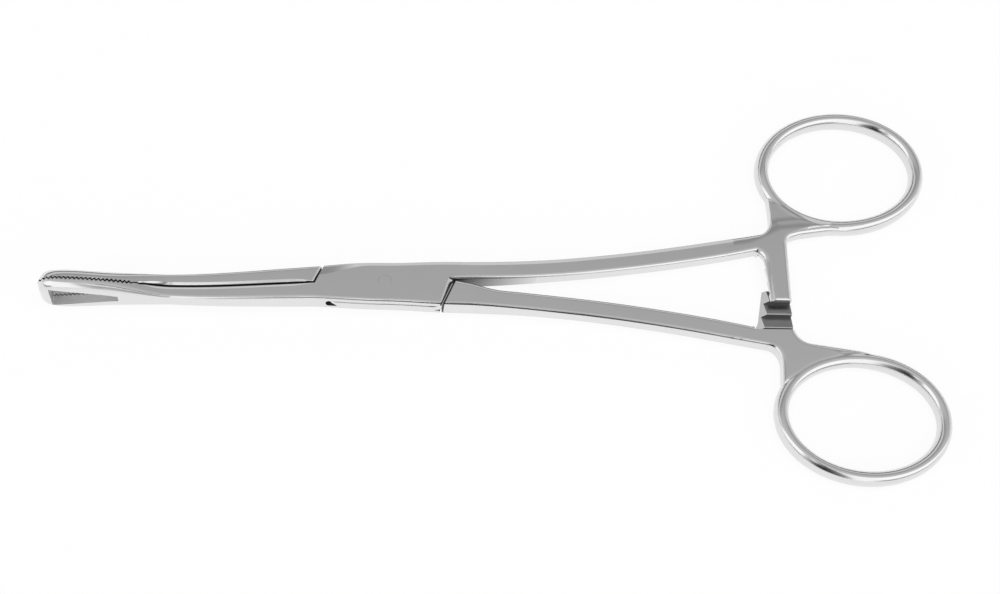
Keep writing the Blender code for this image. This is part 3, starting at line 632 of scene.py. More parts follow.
def web_outline(arm):
    """The web between the shank, the arm and the ring."""
    corner_x = ARM_RIGHT - 3.2 * MM
    corners = along_shank(WEB_START, BAR_END, 0.0)
    corners.append((ARM_RIGHT - arm["web_corner"], shank_centre(ARM_RIGHT) + arm["crotch_offset"], 0))
    corners += along_ring(arm["beside"])
    last_turn = arm["beside"][-1][0]
    corners += along_ring([(turn, 0) for turn in np.linspace(last_turn, WEB_ENDS_IN_RING, 10)])
    corners.append((*ring_edge(math.radians(WEB_LEAVES_RING), RING_WIRE_HALF_WIDTH - WEB_OVERLAP), 0))
    corners.append((corner_x, shank_centre(corner_x) + 1.5 * MM, WEB_FILLET))
    corners.append((WEB_START, shank_centre(WEB_START) + SHANK_HALF_WIDTH - WEB_OVERLAP, 0))
    return rounded_outline(corners)


def raised_outline(arm):
    """Where the raised flat of a bevelled handle lies: its back edge runs on from the shank's."""
    corners = [(RAISED_START, -OUTSIDE * 2, 0), (RING_X + OUTSIDE * 2, -OUTSIDE * 2, 0)]
    corners += along_ring(arm["raised"])
    corners += along_shank(ARM_RIGHT - arm["back"], RAISED_START, SHANK_HALF_WIDTH)
    return rounded_outline(corners)


def outside_of(outline, x, y):
    """Signed distance of plan points to a closed outline, below zero inside it."""
    nearest = np.full(x.shape, np.inf)
    inside = np.zeros(x.shape, bool)
    for k, here in enumerate(outline):
        before = outline[k - 1]
        edge = here - before
        share = np.clip(((x - before.x) * edge.x + (y - before.y) * edge.y) / edge.length_squared, 0, 1)
        away = np.hypot(x - before.x - share * edge.x, y - before.y - share * edge.y)
        nearest = np.minimum(nearest, away)
        crosses = (here.y > y) != (before.y > y)
        at = before.x + (y - before.y) * edge.x / (edge.y if edge.y else 1e-12)
        inside ^= crosses & (x < at)
    return np.where(inside, -nearest, nearest)


def on_ring_axes(x, y):
    """Plan points measured along the ring's long and short axes, from its middle."""
    cosine = math.cos(RING_SPLAY)
    sine = math.sin(RING_SPLAY)
    along = (x - RING_X) * cosine + (y - RING_Y) * sine
    across = (y - RING_Y) * cosine - (x - RING_X) * sine
    return along, across


def beside_ring(x, y):
    """Signed plan distance to the ring's centre line, above zero outside it."""
    length = RING_HALF_LENGTH
    width = RING_HALF_WIDTH
    along, across = on_ring_axes(x, y)
    px = np.abs(along)
    py = np.abs(across)
    tx = np.full(px.shape, 0.7071)
    ty = np.full(px.shape, 0.7071)
    for _ in range(5):
        ex = (length ** 2 - width ** 2) * tx ** 3 / length
        ey = (width ** 2 - length ** 2) * ty ** 3 / width
        reach = np.hypot(length * tx - ex, width * ty - ey) / np.maximum(np.hypot(px - ex, py - ey), 1e-9)
        tx = np.clip(((px - ex) * reach + ex) / length, 0, 1)
        ty = np.clip(((py - ey) * reach + ey) / width, 0, 1)
        size = np.maximum(np.hypot(tx, ty), 1e-9)
        tx = tx / size
        ty = ty / size
    distance = np.hypot(length * tx - px, width * ty - py)
    return np.where((px / length) ** 2 + (py / width) ** 2 < 1, -distance, distance)


def slab(across, z, half_width, half_height, edge):
    """How far outside a bar with elliptical edges a point is; across runs from its middle."""
    width, drop = edge
    u = np.maximum(np.abs(across) - (half_width - width), 0) / width
    v = np.maximum(np.abs(z) - (half_height - drop), 0) / drop
    return (np.hypot(u, v) - 1) * drop


def plate(outside, z, half_height, edge):
    """The same for a plate, from its plan distance."""
    width, drop = edge
    u = np.maximum(outside + width, 0) / width
    v = np.maximum(np.abs(z) - (half_height - drop), 0) / drop
    return (np.hypot(u, v) - 1) * drop


def chamfer(outside, z, half_height, bevel):
    """A flat ground along an edge, on both faces, from the plan distance to that edge."""
    width, slope = bevel
    return (np.abs(z) - half_height) * math.cos(slope) + (outside + width) * math.sin(slope)


def blended(first, second, radius):
    """A union with a fillet."""
    share = np.maximum(radius - np.abs(first - second), 0) / radius
    return np.minimum(first, second) - share * share * radius / 4


def handle_form(arm):
    """Gives plan(x, y), the plan distances, and solid(plan, z), below zero in the steel."""
    arm_line = arm_outline(arm)
    web_line = web_outline(arm)
    raised_line = raised_outline(arm)

    def plan(x, y):
        share = np.maximum((x - HANDLE_SHOULDER) / (RING_X - HANDLE_SHOULDER), 0.0)
        bow = RING_Y - RING_HALF_WIDTH - SHANK_ROOT_Y
        centre = SHANK_ROOT_Y + bow * share ** SHANK_BOW
        slope = bow * SHANK_BOW * share ** (SHANK_BOW - 1) / (RING_X - HANDLE_SHOULDER)
        start, run = SHANK_NARROWS
        thin = np.clip((x / RING_X - start) / run, 0, 1)
        half = mix(SHANK_HALF_WIDTH, SHANK_END_HALF_WIDTH, smooth(thin))
        along, across = on_ring_axes(x, y)
        turn = np.arctan2(across / RING_HALF_WIDTH, along / RING_HALF_LENGTH)
        away = np.abs(np.mod(turn - math.radians(arm["flat_at"]) + math.pi, 2 * math.pi) - math.pi)
        rise = np.clip((away - FLAT_FROM) / FLAT_FADES, 0, 1)
        start, run = CHAMFER_GROWS
        chamfered = np.clip((x - (ARM_RIGHT - arm["root_width"] - start)) / run, 0, 1)
        grown = -ARM_CHAMFER[0] * CHAMFER_HELD_OFF * (1 - smooth(chamfered))
        return {
            "wire_height": mix(arm["flat_height"], RING_WIRE_HALF_HEIGHT, smooth(rise)),
            "left": np.where(x < ARM_RIGHT - 0.5 * arm["tip_width"], grown, FAR_INSIDE),
            "tip": -arm["reach"] - y,
            "raised": outside_of(raised_line, x, y),
            "across": (y - centre) / np.sqrt(1 + slope * slope),
            "half": half,
            "past": x - BAR_END,
            "before": HANDLE_START - x,
            "arm": outside_of(arm_line, x, y),
            "web": outside_of(web_line, x, y),
            "ring": beside_ring(x, y),
        }

    def solid(here, z):
        shank = slab(here["across"], z, here["half"], SHANK_HALF_THICKNESS, SHANK_EDGE[:2])
        shank = np.maximum(shank, here["past"])
        reach = plate(here["arm"], z, SHANK_HALF_THICKNESS, ARM_EDGE)
        if arm["bevelled"]:
            left = chamfer(here["arm"] + here["left"], z, SHANK_HALF_THICKNESS, ARM_CHAMFER)
            reach = np.maximum(reach, left)
        tip = chamfer(here["tip"], z, SHANK_HALF_THICKNESS, TIP_CHAMFER)
        reach = np.maximum(np.maximum(reach, here["tip"]), tip)
        flat = np.minimum(shank, reach)
        if arm["bevelled"]:
            flat = np.minimum(flat, plate(here["web"], z, SHANK_HALF_THICKNESS, WEB_EDGE))
            bevel = chamfer(here["raised"], z, SHANK_HALF_THICKNESS, BACK_BEVEL)
            flat = -blended(-flat, -bevel, BEVEL_SOFTNESS * 2)
        web = plate(here["web"], z, arm["flat_height"], WEB_EDGE if arm["bevelled"] else LOWER_WEB_EDGE)
        power = RING_SQUARENESS
        wide = np.abs(here["ring"] / RING_WIRE_HALF_WIDTH) ** power
        high = np.abs(z / here["wire_height"]) ** power
        wire = ((wide + high) ** (1 / power) - 1) * RING_WIRE_HALF_WIDTH
        body = blended(blended(flat, web, FLAT_BLEND), wire, arm["blend"])
        body = np.maximum(body, np.abs(z) - np.maximum(here["wire_height"], SHANK_HALF_THICKNESS))
        return np.maximum(body, here["before"])

    return plan, solid


def draw_skin(name, plan, solid, low, high, side):
    """A mesh where solid is zero: one point in each grid cell that the surface crosses."""
    counts = [int((high[k] - low[k]) / HANDLE_CELL) + 2 for k in range(3)]
    axes = [low[k] + HANDLE_CELL * np.arange(counts[k]) for k in range(3)]
    x, y = np.meshgrid(axes[0], axes[1], indexing="ij")
    here = {key: value[:, :, None] for key, value in plan(x, y).items()}
    field = solid(here, axes[2][None, None, :])
    inside = field < 0
    sums = np.zeros([count - 1 for count in counts] + [3])
    crossings = np.zeros([count - 1 for count in counts])
    shape = np.array(field.shape)
    for axis in range(3):
        upto = [slice(None)] * 3
        after = [slice(None)] * 3
        upto[axis] = slice(0, -1)
        after[axis] = slice(1, None)
        start = field[tuple(upto)]
        end = field[tuple(after)]
        crossed = (start < 0) != (end < 0)
        share = np.where(crossed, start / np.where(crossed, start - end, 1), 0)
        others = [k for k in range(3) if k != axis]
        for a in (0, 1):
            for b in (0, 1):
                window = [slice(None)] * 3
                window[others[0]] = slice(a, shape[others[0]] - 1 + a)
                window[others[1]] = slice(b, shape[others[1]] - 1 + b)
                window = tuple(window)
                hit = crossed[window]
                crossings += hit
                sums[..., axis] += np.where(hit, share[window], 0)
                sums[..., others[0]] += hit * a
                sums[..., others[1]] += hit * b
    cells = np.argwhere(crossings > 0)
    number = np.full(crossings.shape, -1)
    number[tuple(cells.T)] = np.arange(len(cells))
    within = (sums / np.maximum(crossings, 1)[..., None])[tuple(cells.T)]
    points = np.array(low) + HANDLE_CELL * (cells + within)
    faces = []
    for axis in range(3):
        others = [k for k in range(3) if k != axis]
        start = [slice(1, -1)] * 3
        end = [slice(1, -1)] * 3
        start[axis] = slice(0, -1)
        end[axis] = slice(1, None)
        first = inside[tuple(start)]
        second = inside[tuple(end)]
        cells_beyond = np.argwhere(first != second) + 1
        cells_beyond[:, axis] -= 1
        corners = []
        for a, b in ((0, 0), (1, 0), (1, 1), (0, 1)):
            at = cells_beyond.copy()
            at[:, others[0]] -= a
            at[:, others[1]] -= b
            corners.append(number[tuple(at.T)])
        faces += np.stack(corners, axis=1).tolist()
    for _ in range(PULLS):
        points = pulled(points, plan, solid)
    points[:, 1] *= side
    mesh = bpy.data.meshes.new(name)
    mesh.from_pydata(points.tolist(), [], faces)
    shape = bmesh.new()
    shape.from_mesh(mesh)
    bpy.data.meshes.remove(mesh)
    return as_object(name, shape)


def pulled(points, plan, solid):
    """Points moved onto the surface along its slope."""
    def value(at):
        return solid(plan(at[:, 0], at[:, 1]), at[:, 2])

    nudge = 0.01 * MM
    here = value(points)
    slope = np.stack([value(points + nudge * np.eye(3)[k]) - here for k in range(3)], axis=1) / nudge
    steep = np.maximum((slope * slope).sum(axis=1), LEAST_STEEPNESS)
    move = -(here / steep)[:, None] * slope
    length = np.linalg.norm(move, axis=1, keepdims=True)
    return points + move * np.minimum(1, HANDLE_CELL * LONGEST_PULL / np.maximum(length, 1e-12))


upper_arm = {
    "root_width": 5.8 * MM, "tip_width": 4.7 * MM, "reach": 2.6 * MM,
    "crotch_offset": -0.4 * MM, "crotch_fillet": 1.6 * MM, "back": 8.8 * MM, "web_corner": 2.3 * MM,
    "flange": [(237.3, 4.4), (243, 3.3), (254.5, 1.8), (265, 1.35), (262, 0.4), (250, 0.2)],
    "raised": [(290, 0.0), (266, -0.5), (255, -0.7), (234, 1.05), (225, 3.1), (221, 4.3)],
    "beside": [(243, 1.8), (250, 0.9), (256, 0.2)],
    "flat_at": 232, "flat_height": 1.65 * MM, "blend": 0.25 * MM, "bevelled": True,
}
lower_arm = {
    "root_width": 8.1 * MM, "tip_width": 6.3 * MM, "reach": 0.6 * MM,
    "crotch_offset": -0.9 * MM, "crotch_fillet": 4.0 * MM, "back": 3.9 * MM, "web_corner": 0.5 * MM,
    "flange": [(269, 1.95), (282, 1.35), (276, 0.4), (258, 0.4), (240, 0.3)],
    "raised": [(290, 0.0), (221, 4.3)],
    "beside": [(255, 1.59), (268, 1.35), (280, 0.8)],
    "flat_at": 235, "flat_height": 1.95 * MM, "blend": 0.15 * MM, "bevelled": False,
}
lowest = (HANDLE_START - 1 * MM, -3.5 * MM, -2.9 * MM)
highest = (RING_X + 20.5 * MM, 46 * MM, 2.9 * MM)
upper_handle = draw_skin("upper_handle", *handle_form(upper_arm), lowest, highest, 1)
lower_handle = draw_skin("lower_handle", *handle_form(lower_arm), lowest, highest, -1)


# Grinding and cutting. The ratchet arms are milled to half their thickness and toothed,
# the jaws are cross-serrated, both heads get their window, and the box half's lock is
# slotted right through, with its two cheeks ground off at a slant beside the shank.
RATCHET_WALL_Y = 9.6 * MM
RATCHET_NOTCH = 0.8 * MM
RATCHET_PITCH = 3.2 * MM
RATCHET_DEPTH = 0.9 * MM
RATCHET_STEEP_RUN = 0.25 * MM
RATCHET_CREST_WIDTH = 0.25 * MM
RATCHET_CLEARANCE = 0.15 * MM
WINDOW_TIP_RAIL = 2.5 * MM
WINDOW_LENGTH = 14.3 * MM
WINDOW_HALF_HEIGHT = 4.2 * MM
WINDOW_END_HALF_HEIGHT = 1.2 * MM
WINDOW_CORNER = 0.15 * MM
SLOT_OVERCUT = 0.1 * MM
PIN_RADIUS = 1.5 * MM
PIN_SIDES = 96
PIN_SEAT_CLEARANCE = 0.03 * MM
PIN_RUNNING_CLEARANCE = 0.07 * MM
SLOT_END_ROUNDING = 0.65 * MM
SLOT_END_SHIFT = 0.4 * MM
TONGUE_END_LEAN = 1.8 * MM
CHEEK_BEVEL_WIDTH = 0.95 * MM
CHEEK_BEVEL_START = 0.15 * MM
CHEEK_BEVEL_DROP = 0.78 * MM
CHEEK_BEVEL_PAST = 1.5
RATCHET_WALL_GAP = 0.02 * MM
TOOTH_CHAMFER = 0.16 * MM
TIP_CHAMFER_GAIN = 1.0 * MM
SHOULDER_FACES_FROM = 9 * MM
SHOULDER_FACES_TO = 19 * MM
SHADED_JAWS_FROM = -54 * MM
SHADED_JAWS_REACH = 0.6 * MM
CROTCH_SHADE_ENDS = 34 * MM
SHARP_ANGLE = math.radians(34)


def prism(name, outline, half_depth, material, turned=Matrix.Identity(4)):
    """A straight cutter: an outline with depth both ways along Z, turned into place."""
    shape = bmesh.new()
    below = [shape.verts.new((point[0], point[1], -half_depth)) for point in outline]
    above = [shape.verts.new((point[0], point[1], half_depth)) for point in outline]
    shape.faces.new(below)
    shape.faces.new(reversed(above))
    for k in range(len(outline)):
        shape.faces.new((below[k - 1], below[k], above[k], above[k - 1]))
    bmesh.ops.transform(shape, matrix=turned, verts=shape.verts)
    made = as_object(name, shape)
    made.data.materials.append(material)
    return made


def oval(half_length, half_width, count):
    turns = np.linspace(0, 2 * math.pi, count + 1)[:-1]
    return [(half_length * math.cos(turn), half_width * math.sin(turn)) for turn in turns]


def standing(sideways, along, middle, z=0.0):
    """Turns a profile upright, so that its X runs sideways in plan and its depth runs along."""
    return Matrix((
        (sideways.x, 0, along.x, middle.x),
        (sideways.y, 0, along.y, middle.y),
        (0, 1, 0, z),
        (0, 0, 0, 1),
    ))


def worked(body, other, operation):
    """The body joined with another piece or cut by it, for good; the other piece goes."""
    step = body.modifiers.new(other.name, "BOOLEAN")
    step.operation = operation
    step.solver = "EXACT"
    step.material_mode = "TRANSFER"
    step.object = other
    bpy.context.view_layer.update()
    mesh = bpy.data.meshes.new_from_object(body.evaluated_get(bpy.context.evaluated_depsgraph_get()))
    body.modifiers.clear()
    body.data = mesh
    bpy.data.objects.remove(other)


def ratchet_cutter(side, arm):
    """Takes half of an arm's thickness away and leaves the sawtooth on the other half."""
    crest = side * RATCHET_CLEARANCE / 2
    root = side * (RATCHET_CLEARANCE / 2 + RATCHET_DEPTH)
    far = -side * OUTSIDE
    first_tooth = RATCHET_WALL_Y - RATCHET_NOTCH
    count = math.ceil((first_tooth + arm["reach"]) / RATCHET_PITCH)
    profile = [(side * RATCHET_WALL_Y, far), (side * RATCHET_WALL_Y, root)]
    for k in range(count):
        valley = first_tooth - k * RATCHET_PITCH
        profile.append((side * valley, root))
        profile.append((side * (valley - RATCHET_STEEP_RUN), crest))
        profile.append((side * (valley - RATCHET_STEEP_RUN - RATCHET_CREST_WIDTH), crest))
    past_tip = first_tooth - count * RATCHET_PITCH
    profile += [(side * past_tip, root), (side * past_tip, far)]
    half_span = arm["root_width"] / 2
    along_x = Matrix(((0, 0, 1, ARM_RIGHT - half_span), (1, 0, 0, 0), (0, 1, 0, 0), (0, 0, 0, 1)))
    # The cut teeth take the machined steel darkened with painted shade; the flat faces at the middle keep
    # the satin.
    cutter = prism("ratchet_cutter", profile, half_span + 1 * MM, machined_shaded, along_x)
    cutter.data.materials.append(satin)
    for face in cutter.data.polygons:
        if abs(face.normal.z) > 0.99 and abs(face.center.z) < 0.1 * MM:
            face.material_index = 1
    return cutter


def toothed_edge_cutter(arm):
    """The wide chamfer along the left edge of the lower arm's teeth, which rounds their ends."""
    wide, slope = ARM_CHAMFER
    top = Vector((ARM_RIGHT - arm["root_width"], -shank_centre(ARM_RIGHT) + SHANK_HALF_WIDTH))
    tip = Vector((ARM_RIGHT - arm["tip_width"] + TIP_CHAMFER_GAIN, arm["reach"]))
    along = (tip - top).normalized()
    inwards = Vector((along.y, -along.x))
    start = top + along * ((-RATCHET_WALL_Y + RATCHET_WALL_GAP - top.y) / along.y)
    past = 1 * MM
    length = (tip - start).length + past
    middle = start + along * length / 2
    rise = math.tan(slope)
    out = 2 * MM
    profile = [(-out, -(wide + out) * rise), (wide + past, past * rise), (-out, past * rise)]
    placed = standing(inwards, along, middle, -RATCHET_CLEARANCE / 2)
    return prism("toothed_edge_cutter", profile, length / 2, satin, placed)


def serration(k, side):
    """Root or crest k of one jaw's teeth in plan, counted from the tip."""
    x = -JAW_LENGTH + k * SERRATION_PITCH / 2
    tooth = SERRATION_DEPTH / 2 if k % 2 else -SERRATION_DEPTH / 2
    return x, jaw_line(x) + tooth + side * JAW_GAP / 2


def tooth_chamfer_cutter(side, up):
    """Breaks the sharp edge where one jaw's teeth meet its top or bottom; up is +1 for the top."""
    rings = []
    for k in range(1, 2 * SERRATION_COUNT + 1):
        x, y = serration(k, side)
        rim_z = half_height(x)
        low = rim_z - TOOTH_CHAMFER
        high = rim_z + TOOTH_CHAMFER
        ring = [(y - side * MM, low), (y, low), (y + side * 2 * TOOTH_CHAMFER, high), (y - side * MM, high)]
        rings.append([(x, place, up * z) for place, z in ring])
    made = loft("tooth_chamfer_cutter", rings)
    made.data.materials.append(satin)
    return made


def serration_cutter(side):
    """Cuts the face of one jaw to its cross serrations; side is +1 for the +Y jaw."""
    edge = [serration(k, side) for k in range(-2, 2 * SERRATION_COUNT + 1)]
    for past in (0.5, 3.0):
        x = -JAW_LENGTH + (SERRATION_COUNT + past) * SERRATION_PITCH
        edge.append((x, jaw_line(x) + side * JAW_GAP / 2))
    beyond = -side * OUTSIDE
    outline = edge + [(edge[-1][0], beyond), (edge[0][0], beyond)]
    # The serrations take the machined steel darkened with painted shade.
    return prism("serration_cutter", outline, OUTSIDE, machined_shaded)


def window_cutter():
    """The triangular hole for the needle, wide at the tip and narrow at the shaft."""
    tip_end = -JAW_LENGTH + WINDOW_TIP_RAIL
    shaft_end = tip_end + WINDOW_LENGTH
    corners = [
        (tip_end, -WINDOW_HALF_HEIGHT, WINDOW_CORNER),
        (shaft_end, -WINDOW_END_HALF_HEIGHT, WINDOW_CORNER),
        (shaft_end, WINDOW_END_HALF_HEIGHT, WINDOW_CORNER),
        (tip_end, WINDOW_HALF_HEIGHT, WINDOW_CORNER),
    ]
    along_y = Matrix(((1, 0, 0, 0), (0, 0, 1, 0), (0, 1, 0, 0), (0, 0, 0, 1)))
    return prism("window_cutter", rounded_outline(corners), OUTSIDE, milled, along_y)


def slot_cutter():
    """The slot between the cheeks, open to both sides, with a slanted solid end at each jaw."""
    nudge = Vector((-SLOT_OVERCUT, SLOT_OVERCUT))
    jaw_corner = jaw_foot + nudge
    handle_corner = handle_foot - nudge
    reach = math.tan(SLOT_END_SLANT)
    rounding = SLOT_END_ROUNDING - SLOT_END_SHIFT
    outline = [
        (jaw_corner.x + rounding, jaw_corner.y),
        (jaw_corner.x + rounding + (jaw_corner.y + OUTSIDE) * reach, -OUTSIDE),
        (HANDLE_SHOULDER + OUTSIDE, -OUTSIDE),
        (HANDLE_SHOULDER + OUTSIDE, handle_corner.y - JOINT_GAP),
        handle_corner,
        (handle_corner.x - (OUTSIDE - handle_corner.y) * reach, OUTSIDE),
        (-JAW_SHOULDER - OUTSIDE, OUTSIDE),
        (-JAW_SHOULDER - OUTSIDE, jaw_corner.y + JOINT_GAP),
    ]
    # The slot's walls take the near-black painted shade.
    return prism("slot_cutter", outline, LOCK_HALF_THICKNESS - CHEEK_THICKNESS, joint_shade)


def slot_end_cutter():
    """Rounds the slot's end at the jaws, where it opens on the -Y side."""
    outline = oval(SLOT_END_ROUNDING, LOCK_HALF_THICKNESS - CHEEK_THICKNESS, 32)
    start = jaw_foot + Vector((SLOT_END_ROUNDING - SLOT_END_SHIFT, 0))
    along = Vector((math.sin(SLOT_END_SLANT), -math.cos(SLOT_END_SLANT)))
    middle = start + along * OUTSIDE / 2
    placed = standing(Vector((1, 0)), along, middle)
    # The rounded slot end takes the near-black painted shade.
    return prism("slot_end_cutter", outline, OUTSIDE / 2, joint_shade, placed)


def tongue_end_cutter():
    """Leans the tongue's visible end at the jaws, so that it reaches further at the top."""
    height = LOCK_HALF_THICKNESS - CHEEK_THICKNESS
    start = Vector((jaw_foot.x + SLOT_END_NOTCH, jaw_foot.y))
    along = Vector((math.sin(SLOT_END_SLANT), -math.cos(SLOT_END_SLANT)))
    middle = start + along * OUTSIDE * 0.75
    left = -OUTSIDE / 8
    below = -height - 0.1 * MM
    outline = [(left, height), (0, height), (TONGUE_END_LEAN, below), (left, below)]
    placed = standing(Vector((1, 0)), along, middle)
    return prism("tongue_end_cutter", outline, OUTSIDE * 0.5, satin, placed)


def cheek_bevel_cutter(up):
    """The wedge ground off a cheek's handle end, widest beside the shank; up is +1 for the top one."""
    width = CHEEK_BEVEL_WIDTH
    drop = CHEEK_BEVEL_DROP
    top = LOCK_HALF_THICKNESS
    past = CHEEK_BEVEL_PAST * width
    profile = [
        (-width, up * (top + drop)),
        (past, up * (top - CHEEK_BEVEL_PAST * drop)),
        (past, up * (top + drop)),
    ]
    across = Vector((slant.y, -slant.x))
    narrow_end = on_slant(handle_foot, -1) - across * CHEEK_BEVEL_START
    along = (handle_foot - across * width - narrow_end).normalized()
    normal = Vector((along.y, -along.x))
    length = (handle_foot - narrow_end).length + 1 * MM
    middle = handle_foot - across * width - along * length / 2
    return prism("cheek_bevel_cutter", profile, length / 2, satin, standing(normal, along, middle))


def bore_cutter(radius):
    return prism("bore_cutter", oval(radius, radius, PIN_SIDES), OUTSIDE, satin)


for half in (box_half, tongue_half, upper_handle, lower_handle):
    half.data.materials.append(satin)
worked(upper_handle, ratchet_cutter(1, upper_arm), "DIFFERENCE")
worked(lower_handle, ratchet_cutter(-1, lower_arm), "DIFFERENCE")
worked(lower_handle, toothed_edge_cutter(lower_arm), "DIFFERENCE")
for cutter in (
    slot_cutter(),
    slot_end_cutter(),
    cheek_bevel_cutter(1),
    cheek_bevel_cutter(-1),
    bore_cutter(PIN_RADIUS + PIN_SEAT_CLEARANCE),
):
    worked(box_half, cutter, "DIFFERENCE")
worked(tongue_half, bore_cutter(PIN_RADIUS + PIN_RUNNING_CLEARANCE), "DIFFERENCE")
worked(tongue_half, tongue_end_cutter(), "DIFFERENCE")
for half, side in ((box_half, -1), (tongue_half, 1)):
    worked(half, serration_cutter(side), "DIFFERENCE")
    worked(half, tooth_chamfer_cutter(side, 1), "DIFFERENCE")
    worked(half, tooth_chamfer_cutter(side, -1), "DIFFERENCE")
    worked(half, window_cutter(), "DIFFERENCE")
worked(box_half, upper_handle, "UNION")
worked(tongue_half, lower_handle, "UNION")


def paint_gap_shade(piece):
    """Gives painted shade to the faces in the lock's gaps and between the jaws, and to those between the
    shanks.
    """
    piece.data.materials.append(joint_shade)
    piece.data.materials.append(crotch_shade)
    shoulder = Vector((slant.y, -slant.x, 0))
    gap_shade_index = len(piece.data.materials) - 2
    for face in piece.data.polygons:
        centre = face.center
        by_shoulder = SHOULDER_FACES_FROM < abs(centre.x) < SHOULDER_FACES_TO
        along_shoulder = abs(face.normal.dot(shoulder)) > 0.97 and by_shoulder
        faces_lock = face.normal.x < -0.25 and centre.x > 0 and by_shoulder
        in_jaws = abs(centre.y - jaw_line(centre.x)) < SHADED_JAWS_REACH
        between_jaws = abs(face.normal.y) > 0.9 and in_jaws and SHADED_JAWS_FROM < centre.x < -JAW_SHOULDER
        # Faces in the lock's gaps and between the jaws get the near-black painted shade; faces between the
        # shanks get the fading painted shade.
        if along_shoulder or faces_lock or between_jaws:
            face.material_index = gap_shade_index
        elif face.normal.y < -0.8 and centre.y > 0 and HANDLE_SHOULDER < centre.x < CROTCH_SHADE_ENDS:
            face.material_index = gap_shade_index + 1


def polished(piece):
    """Lifts a piece to its place above the lock's underside and shades it smooth between its edges."""
    piece.data.transform(Matrix.Translation((0, 0, LOCK_HALF_THICKNESS)))
    piece.data.polygons.foreach_set("use_smooth", [True] * len(piece.data.polygons))
    piece.data.set_sharp_from_angle(angle=SHARP_ANGLE)
    weighted = piece.modifiers.new("weighted_normals", "WEIGHTED_NORMAL")
    weighted.keep_sharp = True


for half, node in ((box_half, "box_half"), (tongue_half, "tongue_half")):
    paint_gap_shade(half)
    polished(half)
    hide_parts(node)
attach(box_half, "box")
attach(tongue_half, "tongue")


# The pin. It is turned from the same steel, peened into both cheeks and ground flush,
# so only a hairline shows where it ends.
PIN_CHAMFER = 0.04 * MM
PEENED_RADIUS = PIN_RADIUS + PIN_SEAT_CLEARANCE * 0.8

pin_rings = []
for radius, z in (
    (PEENED_RADIUS - PIN_CHAMFER, -LOCK_HALF_THICKNESS),
    (PEENED_RADIUS, PIN_CHAMFER - LOCK_HALF_THICKNESS),
    (PEENED_RADIUS, LOCK_HALF_THICKNESS - PIN_CHAMFER),
    (PEENED_RADIUS - PIN_CHAMFER, LOCK_HALF_THICKNESS),
):
    pin_rings.append([(x, y, z) for x, y in oval(radius, radius, PIN_SIDES)])
pin = loft("pivot_pin_steel", pin_rings)
pin.data.materials.append(satin)
polished(pin)
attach(pin, "box")
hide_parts("pivot_pin")


# The table and the light. The clamp lies on its head and its rings on a white table,
# under a wide soft light. The polished steel mirrors a room of pale and grey walls and,
# at the front, a graded dark card that nothing else shows.
FLOOR_TOUCHES_HEAD = Vector((-69 * MM, -3.35 * MM))
FLOOR_TOUCHES_RINGS = Vector((104 * MM, 0.34 * MM))
FLOOR_HALF_SIZE = 2.0
FLOOR_GLOW = 0.90
TABLE_WHITE = 0.93
UPPER_EDGE_HEIGHT = 4.5 * MM
UPPER_EDGE_FALL = 0.04
FARTHEST_IN_HEIGHTS = 6.0
ROOM_BRIGHTNESS = 1.25
ROOM_AS_SEEN = 0.8
CARD_BRIGHTNESS = 1.2
CARD_Y = -200 * MM
CARD_X = (-60 * MM, 110 * MM)
CARD_FOOT = -5 * MM
CARD_HEIGHT = 700 * MM
CARD_NOTCH = ((30 * MM, CARD_HEIGHT), (16 * MM, 200 * MM), (-20 * MM, 200 * MM), (-28 * MM, CARD_HEIGHT))
SOFTBOX_SIZE = (0.7, 0.25)
SOFTBOX_PLACE = (0.02, 0.0, 0.7)
SOFTBOX_WATTS = 1.5

floor_run = FLOOR_TOUCHES_RINGS.x - FLOOR_TOUCHES_HEAD.x
floor_slope = (FLOOR_TOUCHES_RINGS.y - FLOOR_TOUCHES_HEAD.y) / floor_run
floor_shape = bmesh.new()
floor_corners = []
for x, y in ((-1, -1), (1, -1), (1, 1), (-1, 1)):
    z = FLOOR_TOUCHES_HEAD.y + (x * FLOOR_HALF_SIZE - FLOOR_TOUCHES_HEAD.x) * floor_slope
    floor_corners.append(floor_shape.verts.new((x * FLOOR_HALF_SIZE, y * FLOOR_HALF_SIZE, z)))
floor_shape.faces.new(floor_corners)
floor = as_object("table", floor_shape)

table_top = bpy.data.materials.new("white_table")
table_top.use_nodes = True
finish = Finish(table_top)
seen = finish.node("ShaderNodeLightPath")
glossy = seen.beside("Is Glossy Ray")
through = seen.beside("Is Transmission Ray")
glow = finish.node("ShaderNodeEmission", inputs={"Color": (1, 1, 1, 1), "Strength": 1.0})
paint = finish.node("ShaderNodeBsdfDiffuse", inputs={"Color": (TABLE_WHITE, TABLE_WHITE, TABLE_WHITE, 1)})
reach = seen.beside("Ray Length")
spot = finish.node("ShaderNodeTexCoord", output="Object")
spot = finish.node("ShaderNodeSeparateXYZ", inputs={0: spot})
above = spot * -UPPER_EDGE_FALL + (FLOOR_TOUCHES_RINGS.x * UPPER_EDGE_FALL + UPPER_EDGE_HEIGHT)
nearby = finish.stops(reach.maths("DIVIDE", reach, above * FARTHEST_IN_HEIGHTS), [
    (heights / FARTHEST_IN_HEIGHTS, brightness)
    for heights, brightness in ((0.0, 0.82), (1.2, 0.82), (1.7, 0.3), (2.6, 0.1))
])
share = (seen + through) * FLOOR_GLOW + glossy * nearby
finish.surface(finish.node("ShaderNodeMixShader", inputs={0: share, 1: paint, 2: glow}))
floor.data.materials.append(table_top)

room = bpy.data.worlds.new("room")
room.use_nodes = True
scene.world = room
finish = Finish(room)
place = finish.node("ShaderNodeTexCoord", output="Generated")
sideways = finish.node("ShaderNodeSeparateXYZ", inputs={0: place})
height = sideways.beside("Z")
around = height.maths("ARCTAN2", height, sideways.beside("Y")) * (0.5 / math.pi) + 0.5


def at(degrees):
    """Where a direction comes in the ramp; 0 is the horizon behind the clamp, 90 overhead."""
    return (degrees + 180) / 360


